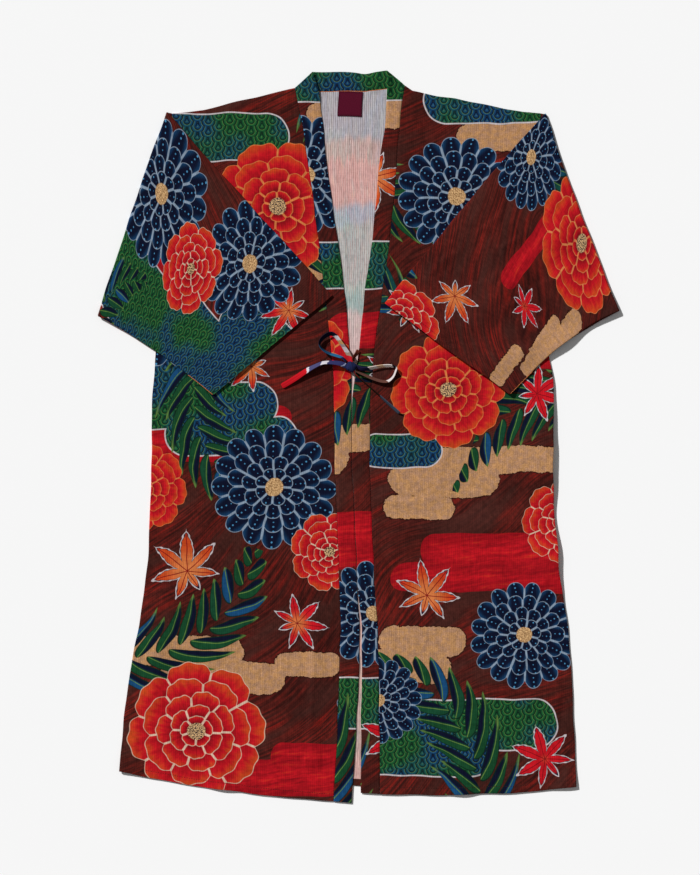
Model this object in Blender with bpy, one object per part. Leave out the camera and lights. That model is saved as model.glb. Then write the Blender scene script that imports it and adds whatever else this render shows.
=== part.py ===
"""Haori jacket laid flat on its back, with both sleeves folded forward and the ties in a bow.

Every piece of cloth is a wall of its own. Looking down on the jacket, -X is its left, +Y runs to
the collar and +Z is up; the underside lies on Z = 0 and the origin is below the middle of it.
Tables are in millimetres. "down" is the distance below the collar's top edge.
"""

import bpy
import numpy as np

MM = 0.001

# Driving dimensions, in millimetres
LENGTH = 1025.6  # collar's top edge to the lowest point of the hem
CLOTH = 1.0  # wall of one layer of cloth
GAP = 0.3  # between two layers, and between two pieces at a seam
RISE = CLOTH + GAP  # from one layer to the next
FRONT_LAYER = RISE  # underside of the fronts and of the collar on them
SLEEVE_LAYER = 2 * RISE  # underside of a sleeve where it lies on the front
TIE_WIDTHS = dict(left=8.0, right=6.4)  # the right tie is pressed narrower
TIE_CLOTH = 1.2
TIE_CROWN = 1.15  # a tie's thickness at its middle, over that at its edges
ROWS = 37  # rows of points down a panel, the same on front and back
SIDE_COLUMNS = np.array([0.0, 0.08, 0.16, 0.25, 0.35])  # columns of points near a side seam, on both

LEFT = -1
RIGHT = 1
SIDE_NAMES = {LEFT: "left", RIGHT: "right"}


def table(columns, *rows):
    """A short table: column name -> array of that column."""
    return dict(zip(columns.split(), np.array(rows, float).T))


# One row for each section across the body: the sleeve or side seam, the seam of the collar band
# and the band's free edge, as X on the left and on the right.
BODY = table(
    "down side_left seam_left edge_left edge_right seam_right side_right",
    (0.4, -256.3, -95.2, -64.4, 39.8, 69.3, 253.6),
    (27.0, -258.1, -88.2, -55.4, 40.0, 64.4, 254.4),
    (59.9, -260.4, -81.2, -51.1, 38.8, 59.6, 255.5),
    (139.0, -265.9, -67.8, -41.9, 29.4, 54.3, 258.0),
    (223.0, -271.6, -57.4, -30.9, 21.0, 45.6, 260.8),
    (314.0, -277.9, -45.6, -17.8, 9.4, 34.3, 263.8),
    (398.0, -283.6, -37.1, -11.6, 0.3, 22.3, 267.2),
    (440.0, -287.3, -34.7, -9.8, -6.4, 18.3, 273.2),
    (503.0, -288.6, -32.9, -8.7, -8.1, 17.2, 273.7),
    (545.0, -288.4, -32.2, -8.1, -7.8, 16.9, 273.7),
    (587.0, -290.6, -31.4, -7.1, -6.6, 17.4, 273.3),
    (625.0, -292.4, -29.8, -5.4, -4.9, 18.9, 274.6),
    (664.0, -293.0, -27.9, -3.4, -2.8, 20.9, 279.7),
    (690.0, -294.8, -26.6, -2.1, -1.6, 22.2, 280.4),
    (727.0, -298.8, -25.1, -0.4, 0.4, 24.2, 286.6),
    (769.0, -305.8, -24.5, 1.4, 4.2, 26.9, 292.4),
    (839.0, -319.0, -26.6, 1.1, 5.0, 28.8, 298.4),
    (923.0, -328.8, -28.3, -2.1, 4.6, 30.4, 303.0),
    (1030.0, -338.9, -35.6, -10.1, 3.1, 30.4, 306.4),
)

# The shoulder line, from the sleeve seam (0) to the collar seam (1).
SHOULDER = table(
    "along left right",
    (0.00, 59.8, 60.4),
    (0.12, 57.5, 58.6),
    (0.25, 55.0, 53.6),
    (0.50, 44.5, 43.8),
    (0.62, 39.6, 38.2),
    (0.75, 34.3, 35.4),
    (0.94, 26.3, 28.8),
    (1.00, 24.2, 21.4),
)

# The hem of the fronts, from the side seam (0) to the collar seam (1).
HEM = table(
    "along left right",
    (0.00, 981.1, 1001.4),
    (0.25, 995.3, 1010.2),
    (0.50, 1007.4, 1012.2),
    (0.75, 1016.5, 1013.8),
    (1.00, 1021.7, 1013.3),
)

# The back's top edge and hem. "across" is 0 at the left side, 1 and 2 at the left and right collar
# seams and 3 at the right side.
BACK = table(
    "across top hem",
    (0.00, 59.8, 981.1),
    (0.25, 55.0, 986.0),
    (0.50, 44.5, 990.5),
    (0.75, 34.3, 995.0),
    (1.00, 24.6, 999.5),
    (1.22, 28.8, 1000.3),
    (1.45, 29.2, 1001.0),
    (1.65, 29.8, 1001.8),
    (1.84, 26.3, 1002.5),
    (2.00, 22.0, 1003.0),
    (2.06, 28.8, 1003.0),
    (2.25, 35.4, 1003.0),
    (2.38, 38.2, 1003.0),
    (2.50, 43.8, 1002.8),
    (2.75, 53.6, 1002.2),
    (2.88, 58.6, 1001.8),
    (3.00, 60.4, 1001.4),
)

# The collar behind the neck: its free top edge above each place on the seam to the back.
NECK = table(
    "across top_x top_down",
    (1.00, -64.0, 1.3),
    (1.22, -35.0, 1.2),
    (1.45, -6.0, 3.0),
    (1.65, 10.0, 5.0),
    (1.84, 25.0, 2.3),
    (2.00, 39.2, 0.0),
)

# Ends of the collar's front runs: the fold at the neck, and the hem.
BAND_ENDS = {
    LEFT: dict(seam_top=24.0, edge_top=1.5, seam_hem=1022.3, edge_hem=LENGTH),
    RIGHT: dict(seam_top=21.4, edge_top=0.2, seam_hem=1012.9, edge_hem=1011.2),
}

# Sleeves: the fold line runs from the shoulder to the low corner; then the cuff's two corners.
# The bows are how far the top fold and the underarm seam curve in from a straight line, and how
# far the fold line curves out. "seam_end" is how far down the armhole reaches.
SLEEVES = {
    LEFT: dict(
        shoulder=(-268.1, 58.2), low=(-364.0, 343.4),
        cuff_low=(-202.3, 454.0), cuff_top=(-35.0, 314.0),
        bow_top=2.0, bow_under=5.0, bow_fold=1.8, seam_end=392.0,
    ),
    RIGHT: dict(
        shoulder=(262.8, 60.4), low=(365.8, 336.0),
        cuff_low=(212.1, 453.3), cuff_top=(37.4, 326.2),
        bow_top=-3.0, bow_under=10.2, bow_fold=-2.4, seam_end=396.0,
    ),
}
ROOT_BOW = 2.0  # the same for the underarm seam between armhole and fold
UNDER_SKEW = 0.85  # below 1, the underarm seam bows most nearer the fold than the cuff
FOLD_AXIS = SLEEVE_LAYER - GAP / 2  # height of the line a sleeve folds about, and its outer radius

# Soft folds of the fronts, as ridges from one point to another.
FRONT_FOLDS = table(
    "x0 down0 x1 down1 half_width height",
    (-235.0, 629.0, -95.0, 685.0, 31.0, 2.0),
    (59.0, 650.0, 240.0, 629.0, 28.0, 2.0),
    (-60.0, 760.0, -62.0, 965.0, 18.0, 1.4),
    (-200.0, 937.0, -186.0, 1021.0, 25.0, 2.2),
    (157.0, 944.0, 146.0, 1021.0, 23.0, 2.0),
    (101.0, 769.0, 227.0, 881.0, 33.0, 1.6),
    (-270.0, 741.0, -290.0, 881.0, 25.0, 1.6),
)

# Soft folds of the sleeves where they lie on the fronts, clear of the fold line.
SLEEVE_FOLDS = table(
    "x0 down0 x1 down1 half_width height",
    (-280.0, 215.0, -165.0, 330.0, 30.0, 2.0),
    (-195.0, 160.0, -105.0, 262.0, 26.0, 1.6),
    (-225.0, 395.0, -165.0, 415.0, 24.0, 1.6),
    (285.0, 225.0, 170.0, 345.0, 30.0, 2.0),
    (190.0, 165.0, 100.0, 285.0, 26.0, 1.8),
    (230.0, 400.0, 170.0, 415.0, 24.0, 1.6),
)

# Places where front and back lift off the floor together at the side seams.
LIFTS = table(
    "x down radius height",
    (272.0, 462.0, 52.0, 2.0),
    (276.0, 545.0, 98.0, 6.0),
    (284.0, 680.0, 70.0, 5.0),
    (-343.0, 985.0, 48.0, 3.0),
)

# The same for the sleeves, at the low end of the fold and beside the body.
SLEEVE_LIFTS = table(
    "x down radius height",
    (-362.0, 342.0, 60.0, 2.0),
    (364.0, 336.0, 60.0, 2.0),
    (302.0, 384.0, 38.0, 2.5),
)

LABEL = dict(width=34.0, height=33.5, middle=(-11.2, 47.5), lean_deg=2.8, cloth=0.8)

# The bow: where the middle of each tie runs, its height above the floor, and how far the ribbon
# leans from lying flat (0) to standing on edge (90).
KNOT = dict(middle=(-10.8, 415.0), height=7.3, half_sizes=(6.2, 7.6, 4.5))
TIES = {
    "tie_loop_left": table(
        "x down height lean",
        (-11.4, 404.2, 7.6, 34), (-13.6, 397.4, 7.2, 40), (-19.4, 387.8, 7.0, 50),
        (-26.2, 377.8, 7.2, 52), (-32.0, 370.4, 7.4, 48), (-38.0, 367.6, 7.6, 44),
        (-45.0, 370.4, 7.4, 46), (-51.4, 376.2, 7.2, 58), (-53.6, 383.2, 7.2, 74),
        (-48.4, 390.4, 7.2, 70), (-39.4, 395.4, 7.2, 64), (-28.6, 399.4, 7.2, 62),
        (-21.4, 402.6, 7.4, 66),
    ),
    "tie_tail_left": table(
        "x down height lean",
        (-18.8, 413.2, 8.0, -18), (-25.0, 410.2, 8.2, -32), (-36.8, 408.0, 7.9, -48),
        (-49.2, 408.2, 7.4, -56), (-60.5, 413.0, 6.8, -50), (-72.8, 420.0, 6.0, -30),
        (-89.0, 430.8, 5.0, -10), (-107.1, 442.1, 3.9, -2),
    ),
    "tie_loop_right": table(
        "x down height lean",
        (-2.6, 415.2, 7.6, 150), (6.0, 418.2, 7.4, 144), (18.2, 416.8, 6.7, 136),
        (31.5, 414.4, 6.0, 130), (44.4, 413.4, 5.9, 124), (52.4, 416.0, 6.0, 112),
        (51.2, 422.2, 6.0, 110), (47.4, 429.6, 6.0, 114), (40.4, 435.2, 5.8, 124),
        (31.0, 435.0, 5.7, 130), (20.2, 431.6, 5.9, 130), (9.4, 427.0, 6.3, 124),
        (-0.8, 422.6, 7.0, 112),
    ),
    "tie_tail_right": table(
        "x down height lean",
        (-4.4, 425.6, 7.2, 96), (2.6, 432.2, 6.8, 100), (13.6, 441.4, 6.4, 104),
        (26.0, 451.6, 6.0, 108), (39.2, 463.2, 5.9, 118), (49.4, 472.0, 5.7, 128),
        (58.2, 479.8, 5.6, 130),
    ),
    "tie_root_right": table(
        "x down height lean",
        (1.2, 392.0, 4.1, 8), (-0.9, 395.0, 5.0, 22), (-3.3, 398.2, 6.5, 40),
        (-5.4, 401.0, 7.6, 52),
    ),
}

BROWN = (0.065, 0.012, 0.008, 1.0)
NAVY = (0.012, 0.013, 0.045, 1.0)
GREEN = (0.010, 0.055, 0.022, 1.0)
MAROON = (0.060, 0.006, 0.014, 1.0)


def clear_scene():
    for obj in list(bpy.data.objects):
        bpy.data.objects.remove(obj)


def cloth_material(name, color, roughness=0.85):
    material = bpy.data.materials.new(name)
    material.use_nodes = True
    shader = material.node_tree.nodes["Principled BSDF"]
    shader.inputs["Base Color"].default_value = color
    shader.inputs["Roughness"].default_value = roughness
    shader.inputs["Metallic"].default_value = 0.0
    return material


# Curves and reliefs


def smooth(at, knots, values):
    """Cubic curve through the knots, with its slopes from their neighbours."""
    slopes = np.gradient(values, knots)
    i = np.clip(np.searchsorted(knots, at, side="right") - 1, 0, len(knots) - 2)
    span = knots[i + 1] - knots[i]
    t = np.clip((at - knots[i]) / span, 0.0, 1.0)
    return (
        values[i] * (2 * t**3 - 3 * t**2 + 1)
        + values[i + 1] * (3 * t**2 - 2 * t**3)
        + span * slopes[i] * (t**3 - 2 * t**2 + t)
        + span * slopes[i + 1] * (t**3 - t**2)
    )


def body_line(name, side, down):
    """X of a line of the body (side, seam or edge) at a distance below the collar's top."""
    return smooth(down, BODY["down"], BODY[f"{name}_{SIDE_NAMES[side]}"])


def body_x(across, down):
    """X of a place on the body, counted across it as in the table of the back."""
    lines = [
        body_line("side", LEFT, down) + GAP / 2,
        body_line("seam", LEFT, down),
        body_line("seam", RIGHT, down),
        body_line("side", RIGHT, down) - GAP / 2,
    ]
    part = np.clip(np.floor(across), 0, 2).astype(int)
    start, end = np.choose(part, lines[:-1]), np.choose(part, lines[1:])
    return start + (end - start) * (across - part)


def bump(distance, radius):
    """A soft hump, 1 at no distance and 0 from the radius on."""
    return np.clip(1 - (distance / radius) ** 2, 0.0, 1.0) ** 2


def folds(x, down, rows):
    """Height of the soft ridges in a table of folds."""
    height = np.zeros_like(x)
    for x0, down0, x1, down1, half_width, rise in zip(*rows.values()):
        along_x, along_down = x1 - x0, down1 - down0
        t = ((x - x0) * along_x + (down - down0) * along_down) / (along_x**2 + along_down**2)
        t = np.clip(t, 0.0, 1.0)
        distance = np.hypot(x - x0 - t * along_x, down - down0 - t * along_down)
        height += rise * bump(distance, half_width)
    return height


def lifts(x, down, rows):
    """Height of the places in a table of lifts off the floor."""
    height = np.zeros_like(x)
    for lift_x, lift_down, radius, rise in zip(*rows.values()):
        height += rise * bump(np.hypot(x - lift_x, down - lift_down), radius)
    return height


def points(x, down, z):
    """Points in millimetres, with Y counted from the middle of the jacket's length."""
    return np.stack([x, LENGTH / 2 - down, z], axis=-1)


# Meshes


def add_mesh(name, vertices, faces, material):
    mesh = bpy.data.meshes.new(name)
    mesh.from_pydata((vertices * MM).tolist(), [], faces)
    mesh.validate()
    obj = bpy.data.objects.new(name, mesh)
    bpy.context.scene.collection.objects.link(obj)
    mesh.materials.append(material)
    return obj


def strips(index, closed_rows=False):
    """Quads between neighbouring rows and columns of an array of vertex numbers."""
    if closed_rows:
        index = np.concatenate([index, index[:, :1]], axis=1)
    quads = np.stack([index[:-1, :-1], index[1:, :-1], index[1:, 1:], index[:-1, 1:]], axis=-1)
    return quads.reshape(-1, 4)


def outline(index):
    """The vertex numbers round the border of a grid, once round."""
    return np.concatenate([index[:-1, 0], index[-1, :-1], index[:0:-1, -1], index[0, :0:-1]])


def wall(name, under, over, material):
    """One layer of cloth between two grids of points with the same rows and columns."""
    rows, columns = under.shape[:2]
    low = np.arange(rows * columns).reshape(rows, columns)
    high = low + rows * columns
    rim = strips(np.stack([outline(low), outline(high)]), closed_rows=True)
    faces = np.concatenate([strips(low), turned(strips(high)), rim])
    vertices = np.concatenate([under.reshape(-1, 3), over.reshape(-1, 3)])
    if signed_volume(vertices, faces) < 0:
        faces = turned(faces)
    return add_mesh(name, vertices, faces.tolist(), material)


def tube_wall(name, outer, inner, material):
    """A tube open at both ends, between two sets of rings with the same number of points."""
    stations, around = outer.shape[:2]
    out = np.arange(stations * around).reshape(stations, around)
    inn = out + stations * around
    ends = [
        strips(np.stack([inn[0], out[0]]), closed_rows=True),
        strips(np.stack([out[-1], inn[-1]]), closed_rows=True),
    ]
    faces = np.concatenate([strips(out, True), turned(strips(inn, True)), *ends])
    vertices = np.concatenate([outer.reshape(-1, 3), inner.reshape(-1, 3)])
    if signed_volume(vertices, faces) < 0:
        faces = turned(faces)
    return add_mesh(name, vertices, faces.tolist(), material)


def turned(quads):
    """The same quads seen from the other side, still split along the same diagonals."""
    return quads[:, [0, 3, 2, 1]]


def signed_volume(vertices, quads):
    a, b, c, d = (vertices[quads[:, k]] for k in range(4))
    return (np.cross(b - a, c - a) * a).sum() + (np.cross(c - a, d - a) * a).sum()


def layer(name, x, down, base, relief, material, thickness=CLOTH):
    """A panel: a grid of places, lifted by its relief, one cloth thick."""
    under = points(x, down, base + relief)
    over = points(x, down, base + relief + thickness)
    return wall(name, under, over, material)


# Panels


def even(count, first=0.0, last=1.0):
    return np.linspace(first, last, count)


def add_back():
    columns = np.unique(np.concatenate([BACK["across"], SIDE_COLUMNS, 3 - SIDE_COLUMNS]))
    across, v = np.meshgrid(columns, even(ROWS))
    top, hem = (np.interp(across, BACK["across"], BACK[key]) for key in ("top", "hem"))
    down = top + (hem - top) * v
    x = body_x(across, down)
    layer("back", x, down, 0.0, lifts(x, down, LIFTS), cloth_material("back_cloth", BROWN))


def add_front(side):
    name = SIDE_NAMES[side]
    columns = np.concatenate([SIDE_COLUMNS, even(6, 0.46, 1.0)])
    u, v = np.meshgrid(columns[::-side], even(ROWS))  # from left to right, as on the back
    top = np.interp(u, SHOULDER["along"], SHOULDER[name])
    hem = smooth(u, HEM["along"], HEM[name])
    down = top + (hem - top) * v
    outer = body_line("side", side, down) - side * GAP / 2
    inner = body_line("seam", side, down) + side * GAP / 2
    x = outer + (inner - outer) * u
    relief = folds(x, down, FRONT_FOLDS) + lifts(x, down, LIFTS)
    material = cloth_material(f"front_{name}_cloth", BROWN)
    layer(f"front_{name}", x, down, FRONT_LAYER, relief, material)


def add_collar_run(side):
    name = SIDE_NAMES[side]
    ends = BAND_ENDS[side]
    u, v = np.meshgrid(even(4), even(40))
    top = ends["seam_top"] + (ends["edge_top"] - ends["seam_top"]) * u
    hem = ends["seam_hem"] + (ends["edge_hem"] - ends["seam_hem"]) * u
    down = top + (hem - top) * v
    seam = body_line("seam", side, down) - side * GAP / 2
    edge = body_line("edge", side, down)
    x = seam + (edge - seam) * u
    relief = folds(x, down, FRONT_FOLDS)
    material = cloth_material(f"collar_{name}_cloth", NAVY)
    layer(f"collar_{name}", x, down, FRONT_LAYER, relief, material)


def add_collar_neck():
    column, v = np.meshgrid(np.arange(len(NECK["across"])), even(3))
    across, top_x, top_down = (NECK[key][column] for key in NECK)
    seam_down = np.interp(across, BACK["across"], BACK["top"]) - GAP
    seam_x = body_x(across, seam_down)
    x = top_x + (seam_x - top_x) * v
    down = top_down + (seam_down - top_down) * v
    material = cloth_material("collar_neck_cloth", GREEN)
    layer("collar_neck", x, down, 0.0, np.zeros_like(x), material)


# Sleeves


def sleeve_rings(side, skin_start, skin_end, inset):
    """Rings of one skin of a sleeve, from its seam to its cuff.

    A ring goes down the outer skin's line and comes back up on the other. Its points have a
    radius from the fold's line: on the root they lie that far below it, round the fold they
    turn with it, and on the folded part they lie that far above it.
    """
    size = SLEEVES[side]
    shoulder, low, cuff_low, cuff_top = (
        np.array(size[key]) for key in ("shoulder", "low", "cuff_low", "cuff_top")
    )
    along_fold = (low - shoulder) / np.linalg.norm(low - shoulder)
    outward = np.array([-along_fold[1], along_fold[0]])
    outward *= np.sign(outward[0]) * side
    shoulder = shoulder - outward * FOLD_AXIS
    low = low - outward * FOLD_AXIS

    down = np.array([SHOULDER[SIDE_NAMES[side]][0], size["seam_end"]])
    seam = np.stack([body_line("side", side, down) + side * GAP / 2, down], axis=-1)
    root = even(4)[:-1, None]
    tops = [seam[0] + (shoulder - seam[0]) * root]
    under = [bowed(seam[1], low, root, ROOT_BOW, seam[0])]
    turns = even(6, 0.0, np.pi)
    tops.append(np.repeat(shoulder[None], len(turns), axis=0))
    under.append(np.repeat(low[None], len(turns), axis=0))
    folded = even(14)[1:, None]
    tops.append(bowed(shoulder, cuff_top, folded, size["bow_top"], cuff_low))
    under.append(bowed(low, cuff_low, folded, size["bow_under"], cuff_top, UNDER_SKEW))
    tops, under = np.concatenate(tops), np.concatenate(under)
    angle = np.concatenate([np.zeros(len(root)), turns, np.full(len(folded), np.pi)])
    share = np.concatenate([root[:, 0], np.ones(len(turns)), 1 - folded[:, 0]])

    width = np.linalg.norm(under - tops, axis=1)[:, None]
    w = even(10)[None] * (1 - 2 * inset / width) + inset / width
    w = np.concatenate([w, w[:, ::-1]], axis=1)
    half = w.shape[1] // 2
    radius = np.repeat([skin_start, skin_end], half)[None]
    turn = angle[:, None]
    place = tops[:, None] + (under - tops)[:, None] * w[..., None]
    bow = size["bow_fold"] * share[:, None] * np.sin(np.pi * w)
    place = place + (radius * np.sin(turn) + bow)[..., None] * outward
    x, down = place[..., 0], place[..., 1]
    x[0] = body_line("side", side, down[0]) + side * GAP / 2
    z = FOLD_AXIS - radius * np.cos(turn) + lifts(x, down, SLEEVE_LIFTS)
    z = z + np.where(turn == np.pi, folds(x, down, SLEEVE_FOLDS), 0.0)
    return points(x, down, z)


def bowed(start, end, t, bow, inward, skew=1.0):
    """Places from start to end, curving by the bow towards a point."""
    line = end - start
    normal = np.array([-line[1], line[0]]) / np.linalg.norm(line)
    normal *= np.sign(normal @ (inward - start))
    return start + line * t + normal * bow * np.sin(np.pi * t**skew)


def add_sleeve(side):
    name = SIDE_NAMES[side]
    outer = sleeve_rings(side, FOLD_AXIS, GAP / 2, 0.0)
    inner = sleeve_rings(side, FOLD_AXIS - CLOTH, GAP / 2 + CLOTH, CLOTH)
    tube_wall(f"sleeve_{name}", outer, inner, cloth_material(f"sleeve_{name}_cloth", NAVY))


# Label and ties


def add_label():
    u, v = np.meshgrid(even(4, -0.5, 0.5), even(4, -0.5, 0.5))
    lean = np.radians(LABEL["lean_deg"])
    across, along = u * LABEL["width"], v * LABEL["height"]
    x = LABEL["middle"][0] + across * np.cos(lean) - along * np.sin(lean)
    down = LABEL["middle"][1] + across * np.sin(lean) + along * np.cos(lean)
    material = cloth_material("label_weave", MAROON, 0.6)
    layer("neck_label", x, down, FRONT_LAYER, np.zeros_like(x), material, LABEL["cloth"])


def add_knot():
    bpy.ops.mesh.primitive_uv_sphere_add(segments=20, ring_count=10, radius=MM)
    knot = bpy.context.object
    knot.name = knot.data.name = "tie_knot"
    x, down = KNOT["middle"]
    for vertex in knot.data.vertices:
        vertex.co = [c * s for c, s in zip(vertex.co, KNOT["half_sizes"])]
    knot.location = points(x, down, KNOT["height"]) * MM
    knot.data.materials.append(cloth_material("tie_knot_cloth", NAVY))


def add_tie(name, rows, steps=3):
    """A flat ribbon with an oblong section that leans as its table says."""
    knots = np.arange(len(rows["x"]), dtype=float)
    at = even((len(knots) - 1) * steps + 1, 0.0, knots[-1])
    x, down, height, lean = (smooth(at, knots, rows[key]) for key in rows)
    path = points(x, down, height)
    ahead = np.gradient(path, axis=0)
    ahead /= np.linalg.norm(ahead, axis=1, keepdims=True)
    level = np.cross(ahead, [0.0, 0.0, 1.0])
    level /= np.linalg.norm(level, axis=1, keepdims=True)
    upright = np.cross(level, ahead)
    lean = np.radians(lean)[:, None]
    broad = level * np.cos(lean) + upright * np.sin(lean)
    broad *= TIE_WIDTHS[name.split("_")[-1]] / 2
    thick = np.cross(ahead, broad)
    thick *= TIE_CLOTH / 2 / np.linalg.norm(thick, axis=1, keepdims=True)
    corners = [(-1, -1), (0, -TIE_CROWN), (1, -1), (1, 1), (0, TIE_CROWN), (-1, 1)]
    rings = np.stack([path + broad * a + thick * b for a, b in corners], axis=1)
    stations, around = rings.shape[:2]
    index = np.arange(stations * around).reshape(stations, around)
    faces = strips(index, closed_rows=True)
    vertices = rings.reshape(-1, 3)
    caps = [index[0].tolist(), index[-1, ::-1].tolist()]
    middle = vertices.mean(axis=0)
    if signed_volume(vertices - middle, faces) < 0:
        faces = turned(faces)
        caps = [cap[::-1] for cap in caps]
    add_mesh(name, vertices, faces.tolist() + caps, cloth_material(f"{name}_cloth", NAVY))


clear_scene()
add_back()
for body_side in (LEFT, RIGHT):
    add_front(body_side)
    add_collar_run(body_side)
    add_sleeve(body_side)
add_collar_neck()
add_label()
add_knot()
for tie_name, tie_rows in TIES.items():
    add_tie(tie_name, tie_rows)
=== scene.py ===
import bpy
import numpy as np
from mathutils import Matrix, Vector


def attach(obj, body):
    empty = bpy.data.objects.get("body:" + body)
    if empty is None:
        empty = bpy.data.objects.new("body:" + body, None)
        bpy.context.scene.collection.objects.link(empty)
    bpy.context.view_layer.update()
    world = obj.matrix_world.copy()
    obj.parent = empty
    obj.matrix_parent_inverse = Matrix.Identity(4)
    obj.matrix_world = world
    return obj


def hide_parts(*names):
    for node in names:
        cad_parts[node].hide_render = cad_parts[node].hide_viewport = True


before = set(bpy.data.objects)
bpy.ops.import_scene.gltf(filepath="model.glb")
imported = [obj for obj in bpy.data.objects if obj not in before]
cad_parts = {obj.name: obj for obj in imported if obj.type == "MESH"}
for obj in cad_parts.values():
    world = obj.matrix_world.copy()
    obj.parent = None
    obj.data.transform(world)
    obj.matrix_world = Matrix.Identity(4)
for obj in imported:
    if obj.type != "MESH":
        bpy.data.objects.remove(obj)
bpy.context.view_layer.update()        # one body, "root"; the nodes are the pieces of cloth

body = "root"
mm = 0.001  # tables are in millimetres; "down" is the distance below the collar's top edge
left, right = -1, 1
sideNames = {left: "left", right: "right"}

jacket = dict(length=1025.6, cloth=1.0, gap=0.3, edgeRound=0.28, edgeReach=2.2)
rise = jacket["cloth"] + jacket["gap"]  # from one layer of cloth to the next
frontLayer = rise  # underside of the fronts
sleeveLayer = 2 * rise  # underside of a folded sleeve
foldAxis = sleeveLayer - jacket["gap"] / 2  # height of the line a sleeve folds about


def table(columns, *rows):  # column name -> array of that column
    return dict(zip(columns.split(), np.array(rows, float).T))


def smoothCurve(at, knots, values):  # cubic through the knots, slopes taken from their neighbours
    slopes = np.gradient(values, knots)
    i = np.clip(np.searchsorted(knots, at, side="right") - 1, 0, len(knots) - 2)
    span = knots[i + 1] - knots[i]
    t = np.clip((at - knots[i]) / span, 0.0, 1.0)
    start = values[i] * (2 * t**3 - 3 * t**2 + 1) + span * slopes[i] * (t**3 - 2 * t**2 + t)
    end = values[i + 1] * (3 * t**2 - 2 * t**3) + span * slopes[i + 1] * (t**3 - t**2)
    return start + end


def softStep(value, low, high):  # 0 below low, 1 above high, with soft ends
    t = np.clip((value - low) / (high - low), 0.0, 1.0)
    return t * t * (3 - 2 * t)


wander = table(  # the cut edges are never quite straight: small waves along and across the cloth
    "height wavelength start",
    (0.50, 195, 0.4), (0.34, 86, 1.9), (0.22, 50, 4.1),
)


def wandering(run):  # a sum of three small sines
    turns = np.asarray(run)[..., None] / wander["wavelength"]
    return (wander["height"] * np.sin(2 * np.pi * turns + wander["start"])).sum(axis=-1)


def points(x, down, z):  # places in millimetres, Y counted from the middle of the length
    across, y = x + wandering(down), jacket["length"] / 2 - down + wandering(x)
    return np.stack(np.broadcast_arrays(across, y, z), axis=-1)


# Camera, straight above the laid-out jacket
camera = dict(middle=(-11.2, -0.7), frameHeight=1225.0, distance=4200.0, sensor=36.0)


def addCamera():
    data = bpy.data.cameras.new("aboveTable")
    data.sensor_width = camera["sensor"]
    data.lens = camera["sensor"] * camera["distance"] / camera["frameHeight"]
    obj = bpy.data.objects.new("aboveTable", data)
    bpy.context.scene.collection.objects.link(obj)
    obj.location = Vector((*camera["middle"], camera["distance"])) * mm
    bpy.context.scene.camera = obj


addCamera()


# Meshes from grids of points
def addMesh(name, vertices, quads, uv, materials, slots=None, caps=()):
    mesh = bpy.data.meshes.new(name)
    loops = np.concatenate([quads.ravel(), *[np.array(cap) for cap in caps]]).astype(np.int32)
    sizes = np.concatenate([np.full(len(quads), 4), [len(cap) for cap in caps]]).astype(np.int32)
    mesh.vertices.add(len(vertices))
    mesh.vertices.foreach_set("co", (vertices * mm).astype(np.float32).ravel())
    mesh.loops.add(len(loops))
    mesh.loops.foreach_set("vertex_index", loops)
    mesh.polygons.add(len(sizes))
    mesh.polygons.foreach_set("loop_start", (np.cumsum(sizes) - sizes).astype(np.int32))
    mesh.polygons.foreach_set("use_smooth", np.ones(len(sizes), bool))
    if slots is not None:
        mesh.polygons.foreach_set("material_index", slots.astype(np.int32))
    layer = mesh.uv_layers.new(name="cloth")
    layer.data.foreach_set("uv", (uv[loops] * mm).astype(np.float32).ravel())
    for material in materials:
        mesh.materials.append(material)
    mesh.update(calc_edges=True)
    mesh.validate()
    obj = bpy.data.objects.new(name, mesh)
    bpy.context.scene.collection.objects.link(obj)
    return obj


def quadStrips(index, closed=False):  # quads between neighbouring rows and columns
    if closed:
        index = np.concatenate([index, index[:, :1]], axis=1)
    quads = np.stack([index[:-1, :-1], index[1:, :-1], index[1:, 1:], index[:-1, 1:]], axis=-1)
    return quads.reshape(-1, 4)


def turned(quads):
    return quads[:, ::-1]


def volumeOf(vertices, quads):
    a, b, c, d = (vertices[quads[:, k]] for k in range(4))
    return (np.cross(b - a, c - a) * a).sum() + (np.cross(c - a, d - a) * a).sum()


def outward(vertices, quads):  # faces turned to look out of the cloth
    return turned(quads) if volumeOf(vertices, quads) < 0 else quads


def clothWall(name, under, over, uv, face, inside, faceUp=True, hemRows=0):
    # two grids of points one cloth apart, with a rim round their border; the last rows of the
    # upper grid can be a hem turned up, which shows the face
    rows, columns = under.shape[:2]
    low = np.arange(rows * columns).reshape(rows, columns)
    high = low + rows * columns
    border = [np.concatenate([g[:-1, 0], g[-1, :-1], g[:0:-1, -1], g[0, :0:-1]]) for g in (low, high)]
    rim = quadStrips(np.stack(border), closed=True)
    quads = np.concatenate([quadStrips(low), turned(quadStrips(high)), rim])
    vertices = np.concatenate([under.reshape(-1, 3), over.reshape(-1, 3)])
    count = (rows - 1) * (columns - 1)
    slots = np.zeros(len(quads))
    slots[: count] = 1 if faceUp else 0
    slots[count : 2 * count] = 0 if faceUp else 1
    slots[2 * count - hemRows * (columns - 1) : 2 * count] = 0
    flat = uv.reshape(-1, 2)
    return addMesh(
        name, vertices, outward(vertices, quads), np.concatenate([flat, flat]), [face, inside], slots
    )


def spread(size, step, border):  # 0 to 1, closer together near both ends
    near = np.array(border) / size
    count = max(int(round((size - 2 * border[-1]) / step)), 1)
    return np.concatenate([near[:-1], np.linspace(near[-1], 1 - near[-1], count + 1), 1 - near[-2::-1]])


threads = dict(
    pitch=3.4, length=2.3, radius=0.24, arch=1.6, taper=0.4, sides=6, stations=5, lookAhead=0.5,
    neckRadius=0.45, seamRadius=0.5, beat=2.8, beatStep=0.7, beatSwell=0.25,
    stitchColor="2a1210", stitchLight="4a2018", seamColor="b5532a", seamLight="d98a52",
)


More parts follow.
